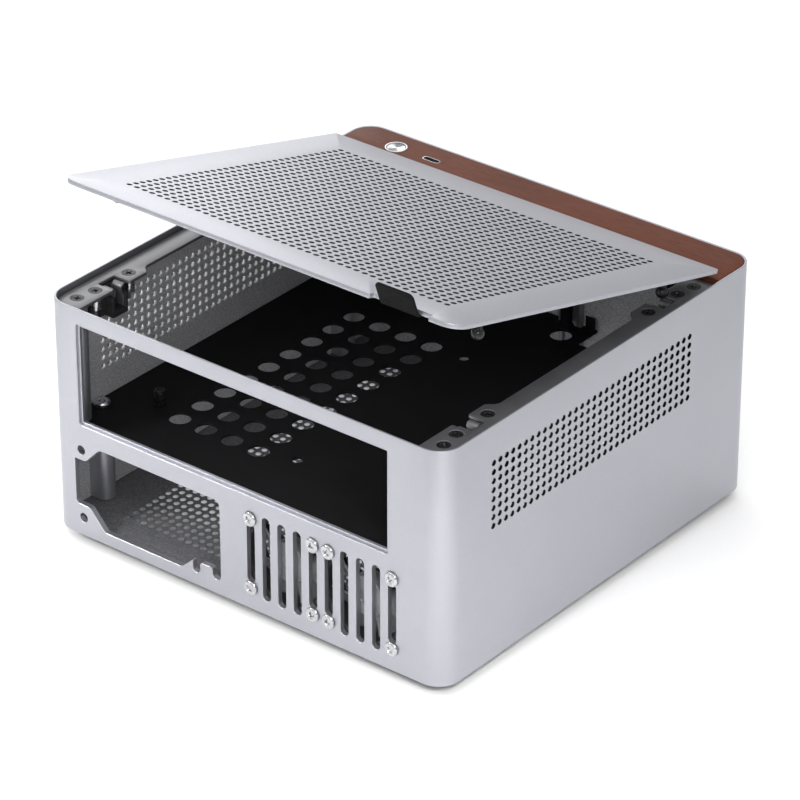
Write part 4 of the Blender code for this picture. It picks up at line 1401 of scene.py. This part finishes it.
def power_switch():
    """The push switch: a square body with a steel cover and a round plunger."""
    low, spot, high = span("button_switch")
    body_top = low.z + 3 * MM
    mesh = slab(rectangle(low.x, high.x, low.y, high.y, 0.6 * MM), low.z, body_top - 0.3 * MM, 0.15 * MM, 4)
    radius, seat = 1.2 * MM, body_top - 0.5 * MM
    plunger = turned([(0, seat), (radius, seat), (radius, high.z), (0, high.z)], 28, 0.15 * MM)
    add(mesh, plunger, at(spot.x, spot.y, 0))
    piece("power_switch", mesh, CASE, [black_plastic()], ["button_switch"], 35)
    cover = bmesh.new()
    reach = 2.8 * MM
    square = rectangle(spot.x - reach, spot.x + reach, spot.y - reach, spot.y + reach, 0.5 * MM)
    sheet = 0.28 * MM
    add(cover, slab(square, body_top - sheet, body_top, 0.08 * MM, 4))
    pierce(cover, body_top - sheet, body_top, [round_hole(spot.x, spot.y, 1.45 * MM, sheet, 0.05 * MM)])
    return piece("switch_cover", cover, CASE, [bright_steel()], (), 35)


def return_spring():
    """The coil that lifts the button."""
    low, spot, high = span("button_spring")
    wire = 0.22 * MM
    coil = (high.x - low.x) / 2 - wire
    turns, steps = 4, 24
    mesh = bmesh.new()
    circle = bmesh.ops.create_circle(mesh, cap_ends=True, segments=10, radius=wire)
    upright = at(coil, 0, low.z + wire) @ Matrix.Rotation(math.pi / 2, 4, "X")
    bmesh.ops.transform(mesh, matrix=upright, verts=circle["verts"])
    face = mesh.faces[:]
    climb = (high.z - low.z - 2 * wire) / turns / steps
    onward = at(0, 0, climb) @ Matrix.Rotation(2 * math.pi / steps, 4, "Z")
    for _ in range(turns * steps):
        face = pull(mesh, face, onward)
    moved(mesh, spot.x, spot.y, 0)
    made = piece("return_spring", mesh, CASE, [bright_steel()], ["button_spring"], 50)
    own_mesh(made)
    return made


def button_ring():
    """The polished bezel round the button."""
    low, spot, high = span("button_bezel")
    inner, outer = 4.2 * MM, (high.x - low.x) / 2
    profile = [(inner, low.z), (outer, low.z), (outer, high.z), (inner, high.z)]
    mesh = turned(profile, 72, 0.16 * MM)
    moved(mesh, spot.x, spot.y, 0)
    return piece("button_ring", mesh, CASE, [bright_steel()], ["button_bezel"], 40)


def button_head():
    """The cap: a dished spun face, a skirt and the flange that keeps it under its bezel."""
    low, spot, high = span("button_cap")
    roof, flange_low, flange_high = high.z - 2 * MM, high.z - 6.3 * MM, high.z - 5.4 * MM
    face, skirt, flange, stem = 3.9 * MM, 3 * MM, 4.8 * MM, 1.5 * MM
    profile = [(0, low.z), (stem, low.z), (stem, roof), (skirt, roof), (skirt, flange_low)]
    profile += [(flange, flange_low), (flange, flange_high), (face, flange_high), (face, high.z)]
    profile += [(face * 0.94, high.z)]
    profile += [(face * share, high.z - 0.3 * MM * (1 - share**2)) for share in (0.75, 0.5, 0.25, 0)]
    mesh = turned(profile, 72, 0.1 * MM, 60)
    moved(mesh, spot.x, spot.y, 0)
    return piece("button_head", mesh, "power_button", [spun_metal()], ["button_cap"], 40)


def usb_socket():
    """The socket's drawn steel shell, and its tongue with gold contacts."""
    low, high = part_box("usb_c_shell")
    half_x, half_y = (high.x - low.x) / 2, (high.y - low.y) / 2
    wall, depth = 0.35 * MM, high.z - low.z
    mesh = slab(socket_corners(half_x, half_y, half_y * 0.99), low.z, high.z, 0.08 * MM, 8)
    corners = socket_corners(half_x - wall, half_y - wall, (half_y - wall) * 0.99)
    pierce(mesh, low.z, high.z, [shaped_hole(corners, depth, 0.06 * MM, 8)])
    piece("socket_shell", mesh, CASE, [bright_steel()], ["usb_c_shell"], 40)
    t_low, t_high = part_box("usb_c_tongue")
    corners = rectangle(t_low.x, t_high.x, t_low.y, t_high.y, 0.1 * MM)
    tongue = slab(corners, t_low.z, t_high.z, 0.08 * MM, 2)
    piece("socket_tongue", tongue, CASE, [black_plastic()], ["usb_c_tongue"])
    contacts = bmesh.new()
    for step in range(12):
        x = t_low.x + 0.55 * MM + 0.5 * MM * step
        for y in (t_low.y, t_high.y):
            pad = rectangle(x - 0.12 * MM, x + 0.12 * MM, y - 0.04 * MM, y + 0.04 * MM)
            add(contacts, slab(pad, t_high.z - 4.5 * MM, t_high.z - 0.4 * MM))
    return piece("socket_contacts", contacts, CASE, [socket_gold()], (), 35)


# --- Fans -------------------------------------------------------------------------------------------------


def fan_housing(letter):
    """A square fan housing with a flared bore, four screw holes, and a motor plate on four struts."""
    node = f"fan_frame_{letter}"
    low, spot, high = span(node)
    depth = high.y - low.y
    half = (high.x - low.x) / 2
    mesh = slab(rectangle(-half, half, -half, half, 2.5 * MM), -depth, 0, 0.2 * MM, 5)
    open_wall(mesh, 2, 0, -depth)
    bore = bmesh.new()
    radius, flare = 18.9 * MM, 0.8 * MM
    mouth = disc(bore, 0, 0, radius, 72)
    step_in(bore, mouth, 0.3 * MM, -flare)
    far = pull(bore, [mouth], (0, 0, 2 * flare - depth))
    outer = pull(bore, far, (0, 0, -flare))
    wider = radius / (radius - 0.3 * MM)
    bmesh.ops.scale(bore, vec=(wider, wider, 1), verts=outer[0].verts[:])
    bmesh.ops.delete(bore, geom=outer, context="FACES_ONLY")
    add(mesh, bore)
    for x in (-16 * MM, 16 * MM):
        for y in (-16 * MM, 16 * MM):
            add(mesh, round_hole(x, y, 1.9 * MM, depth, 0.2 * MM))
    close_wall(mesh, 2, 0, -depth)
    back = -depth
    hub = [(0, back), (8.5 * MM, back)]
    hub += [(reach, back + 2 * MM) for reach in (8.5 * MM, 7.5 * MM, 0)]
    add(mesh, turned(hub, 48, 0.2 * MM))
    for quarter in range(4):
        strut = rectangle(8.3 * MM, 18.75 * MM, -1 * MM, 1 * MM, 0.0)
        turn = Matrix.Rotation(math.radians(20 + 90 * quarter), 4, "Z")
        add(mesh, slab(strut, back + 0.02 * MM, back + 1.9 * MM, 0.2 * MM), turn)
    place = at(spot.x, high.y, spot.z) @ ALONG_Y
    bmesh.ops.transform(mesh, matrix=place, verts=mesh.verts)
    return piece(f"fan_housing_{letter}", mesh, CASE, [black_plastic()], [node], 35)


def fan_blades(letter):
    """The rotor: a cup-shaped hub and seven blades, each twisted along its pitch."""
    node = f"fan_rotor_{letter}"
    low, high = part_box(node)
    hub_place = Vector(JOINTS[f"fan_{letter}_spin"]["pos_m"])
    half = (high.y - low.y) / 2
    profile = [(0, -half), (9 * MM, -half), (9 * MM, half), (3.4 * MM, half), (3.2 * MM, half - 0.25 * MM)]
    profile += [(0, half - 0.25 * MM)]
    mesh = turned(profile, 56, 0.5 * MM, 60)
    blade = one_blade(8.6 * MM, 17.9 * MM, half - 0.6 * MM)
    for number in range(BLADES):
        add(mesh, copy_of(blade, Matrix.Rotation(2 * math.pi * number / BLADES, 4, "Z")))
    blade.free()
    place = at(hub_place.x, (low.y + high.y) / 2, hub_place.z) @ ALONG_Y
    bmesh.ops.transform(mesh, matrix=place, verts=mesh.verts)
    name, body = f"fan_blades_{letter}", f"fan_{letter}"
    return piece(name, mesh, body, [smoked_plastic()], [node], 50)


def one_blade(inner, outer, reach):
    """A blade swept from one face of the rotor to the other, with a rounded tip line."""
    mesh = bmesh.new()
    steps = 6
    line = [mesh.verts.new((inner + (outer - inner) * share / 4, 0, -reach)) for share in range(5)]
    for share, point in enumerate(line):
        lean = Matrix.Rotation(math.radians(2.5 * share), 3, "Z")
        point.co = lean @ point.co
    edges = [mesh.edges.new(pair) for pair in zip(line, line[1:])]
    for _ in range(steps):
        made = bmesh.ops.extrude_edge_only(mesh, edges=edges)["geom"]
        turn = at(0, 0, 2 * reach / steps) @ Matrix.Rotation(math.radians(34 / steps), 4, "Z")
        far = points_of(made)
        bmesh.ops.transform(mesh, matrix=turn, verts=far)
        edges = [edge for edge in edges_of(made) if all(point in far for point in edge.verts)]
    return soften_sharp(thicken(mesh, 0.9 * MM), 0.2 * MM, 2, 60)


def both_fans():
    for letter in "ab":
        fan_housing(letter)
        fan_blades(letter)


def fan_fixings():
    """Bright pan-head screws round both fans, on the rear wall."""
    head_low = SHELL_HIGH.y + 0.3 * MM
    head_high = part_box("fan_screw_1")[1].y
    pattern = pan_screw(3.25 * MM, 0.65 * (head_high - head_low), 1.35 * MM, 9 * MM)
    for number in range(1, 9):
        node = f"fan_screw_{number}"
        spot = middle(node)
        turn = Matrix.Rotation(math.radians(20 + 37 * number), 4, "Z")
        place = at(spot.x, head_low, spot.z) @ ALONG_Y @ turn
        mesh = copy_of(pattern, place)
        piece(f"fan_fixing_{number}", mesh, CASE, [bright_steel()], [node], 40)
    pattern.free()


# --- Stage ------------------------------------------------------------------------------------------------


def softbox(name, place, target, width, height, power, spread=180):
    """A rectangular area light that faces a point, with its spread in degrees."""
    data = bpy.data.lights.new(name, "AREA")
    data.shape = "RECTANGLE"
    data.size, data.size_y = width, height
    data.energy = power
    data.spread = math.radians(spread)
    light = bpy.data.objects.new(name, data)
    light.location = place
    light.rotation_euler = (Vector(target) - Vector(place)).to_track_quat("-Z", "Y").to_euler()
    bpy.context.scene.collection.objects.link(light)
    return light


def studio_world(strength):
    """An even surround, brighter overhead than at the horizon."""
    world = bpy.data.worlds.new("studio")
    world.use_nodes = True
    tree = world.node_tree
    where = tree.nodes.new("ShaderNodeTexCoord").outputs["Generated"]
    parts = tree.nodes.new("ShaderNodeSeparateXYZ")
    rise = tree.nodes.new("ShaderNodeMapRange")
    rise.interpolation_type = "SMOOTHSTEP"
    rise.inputs["From Max"].default_value = 0.8
    rise.inputs["To Min"].default_value = strength * 0.75
    rise.inputs["To Max"].default_value = strength * 1.2
    tree.links.new(where, parts.inputs["Vector"])
    tree.links.new(parts.outputs["Z"], rise.inputs["Value"])
    tree.links.new(rise.outputs["Result"], tree.nodes["Background"].inputs["Strength"])
    tree.nodes["Background"].inputs["Color"].default_value = (1, 1, 1, 1)
    return world


def studio():
    """A white floor, soft light from above and the sides, and the camera."""
    stage = bpy.context.scene.case_stage
    mesh = bmesh.new()
    bmesh.ops.create_grid(mesh, x_segments=1, y_segments=1, size=8)
    moved(mesh, 0, 0, -0.02 * MM)
    data = bpy.data.meshes.new("studio_floor")
    mesh.to_mesh(data)
    mesh.free()
    data.materials.append(studio_floor())
    floor = bpy.data.objects.new("studio_floor", data)
    bpy.context.scene.collection.objects.link(floor)
    bpy.context.scene.world = studio_world(stage.ambient)
    bpy.context.scene.view_settings.view_transform = "Standard"
    aim = (0, 0, 0.06)
    softbox("overhead", (0.1, 0.2, 1.5), aim, 1.4, 1.4, 5.2)
    softbox("lid_side", (0.8, -0.5, 0.4), (0.05, 0, 0.13), 0.7, 0.5, 2.6)
    softbox("camera_side", (-0.9, 1.3, 1.0), (0, 0.05, 0.04), 0.5, 0.4, 3.4)
    softbox("corner_side", (-0.5, 0.45, 0.5), (-0.24, 0.21, 0), 0.15, 0.15, 0.42, 50)
    softbox("rear_side", (0.45, 0.6, 0.5), (0.22, 0.26, 0), 0.15, 0.15, 0.4, 50)
    nadir = (0, 0.001 * MM, 0)
    softbox("lower_bay", (0, 0, TRAY_LOW.z - 1 * MM), nadir, 0.17, 0.15, 0.035)
    softbox("under_case", (0, 0, 6.3 * MM), nadir, 0.15, 0.15, 0.04)
    data = bpy.data.cameras.new("camera")
    data.lens = stage.lens
    camera = bpy.data.objects.new("camera", data)
    bpy.context.scene.collection.objects.link(camera)
    turn, rise = math.radians(stage.azimuth), math.radians(stage.elevation)
    back = Vector((math.sin(turn) * math.cos(rise), -math.cos(turn) * math.cos(rise), math.sin(rise)))
    camera.location = Vector((0, 1.95 * MM, 54.7 * MM)) + back * stage.distance
    camera.rotation_euler = back.to_track_quat("Z", "Y").to_euler()
    data.clip_start, data.clip_end = 0.05, 50
    bpy.context.scene.camera = camera


# --- Operators --------------------------------------------------------------------------------------------


class Step:
    """Calls the functions of one group, in order."""

    makers = ()

    def execute(self, context):
        for make in self.makers:
            make()
        return {"FINISHED"}


class MakeRing(Step, bpy.types.Operator):
    """Build the aluminium ring and its screw columns"""

    bl_idname = "case.make_ring"
    bl_label = "Aluminium ring"

    makers = (aluminium_ring, screw_bosses)


class MakeBase(Step, bpy.types.Operator):
    """Build the bottom plate, its screws and the feet"""

    bl_idname = "case.make_base"
    bl_label = "Base and feet"

    makers = (bottom_plate, base_screws, rubber_feet)


class MakeTray(Step, bpy.types.Operator):
    """Build the board tray, its standoffs and its screws"""

    bl_idname = "case.make_tray"
    bl_label = "Board tray"

    makers = (board_tray, board_standoffs, tray_fixings)


class MakeRails(Step, bpy.types.Operator):
    """Build the lid rails, their screws and the ball catches"""

    bl_idname = "case.make_rails"
    bl_label = "Rails and catches"

    makers = (both_rails, rail_fixings, ball_catches)


class MakeLid(Step, bpy.types.Operator):
    """Build the lid with its studs and pull strap"""

    bl_idname = "case.make_lid"
    bl_label = "Lid"

    makers = (perforated_lid, stud_balls, pull_strap)


class MakeControls(Step, bpy.types.Operator):
    """Build the walnut strip, the power button and the USB-C socket"""

    bl_idname = "case.make_controls"
    bl_label = "Walnut strip and controls"

    makers = (walnut_strip, control_bracket, control_board, power_switch)
    makers += (return_spring, button_ring, button_head, usb_socket)


class MakeFans(Step, bpy.types.Operator):
    """Build the two fans and their screws"""

    bl_idname = "case.make_fans"
    bl_label = "Fans"

    makers = (both_fans, fan_fixings)


class MakeStudio(Step, bpy.types.Operator):
    """Set up the floor, the lights and the camera"""

    bl_idname = "case.make_studio"
    bl_label = "Studio"

    makers = (studio,)


class CasePanel(bpy.types.Panel):
    """The case's operators in the sidebar"""

    bl_idname = "VIEW3D_PT_compact_case"
    bl_label = "Compact Case"
    bl_space_type = "VIEW_3D"
    bl_region_type = "UI"
    bl_category = "Case"

    def draw(self, context):
        for maker in MAKERS:
            self.layout.operator(maker.bl_idname)


MAKERS = (MakeRing, MakeBase, MakeTray, MakeRails, MakeLid, MakeControls, MakeFans, MakeStudio)
GROUPS = {"case_sizes": CaseSizes, "case_finishes": CaseFinishes, "case_stage": CaseStage}


def register():
    for group in (*GROUPS.values(), *MAKERS, CasePanel):
        bpy.utils.register_class(group)
    for name, group in GROUPS.items():
        setattr(bpy.types.Scene, name, PointerProperty(type=group))


def unregister():
    for name in GROUPS:
        delattr(bpy.types.Scene, name)
    for group in reversed((*GROUPS.values(), *MAKERS, CasePanel)):
        bpy.utils.unregister_class(group)


def main():
    register()
    for maker in MAKERS:
        group, name = maker.bl_idname.split(".")
        getattr(getattr(bpy.ops, group), name)()


if __name__ == "__main__":
    main()
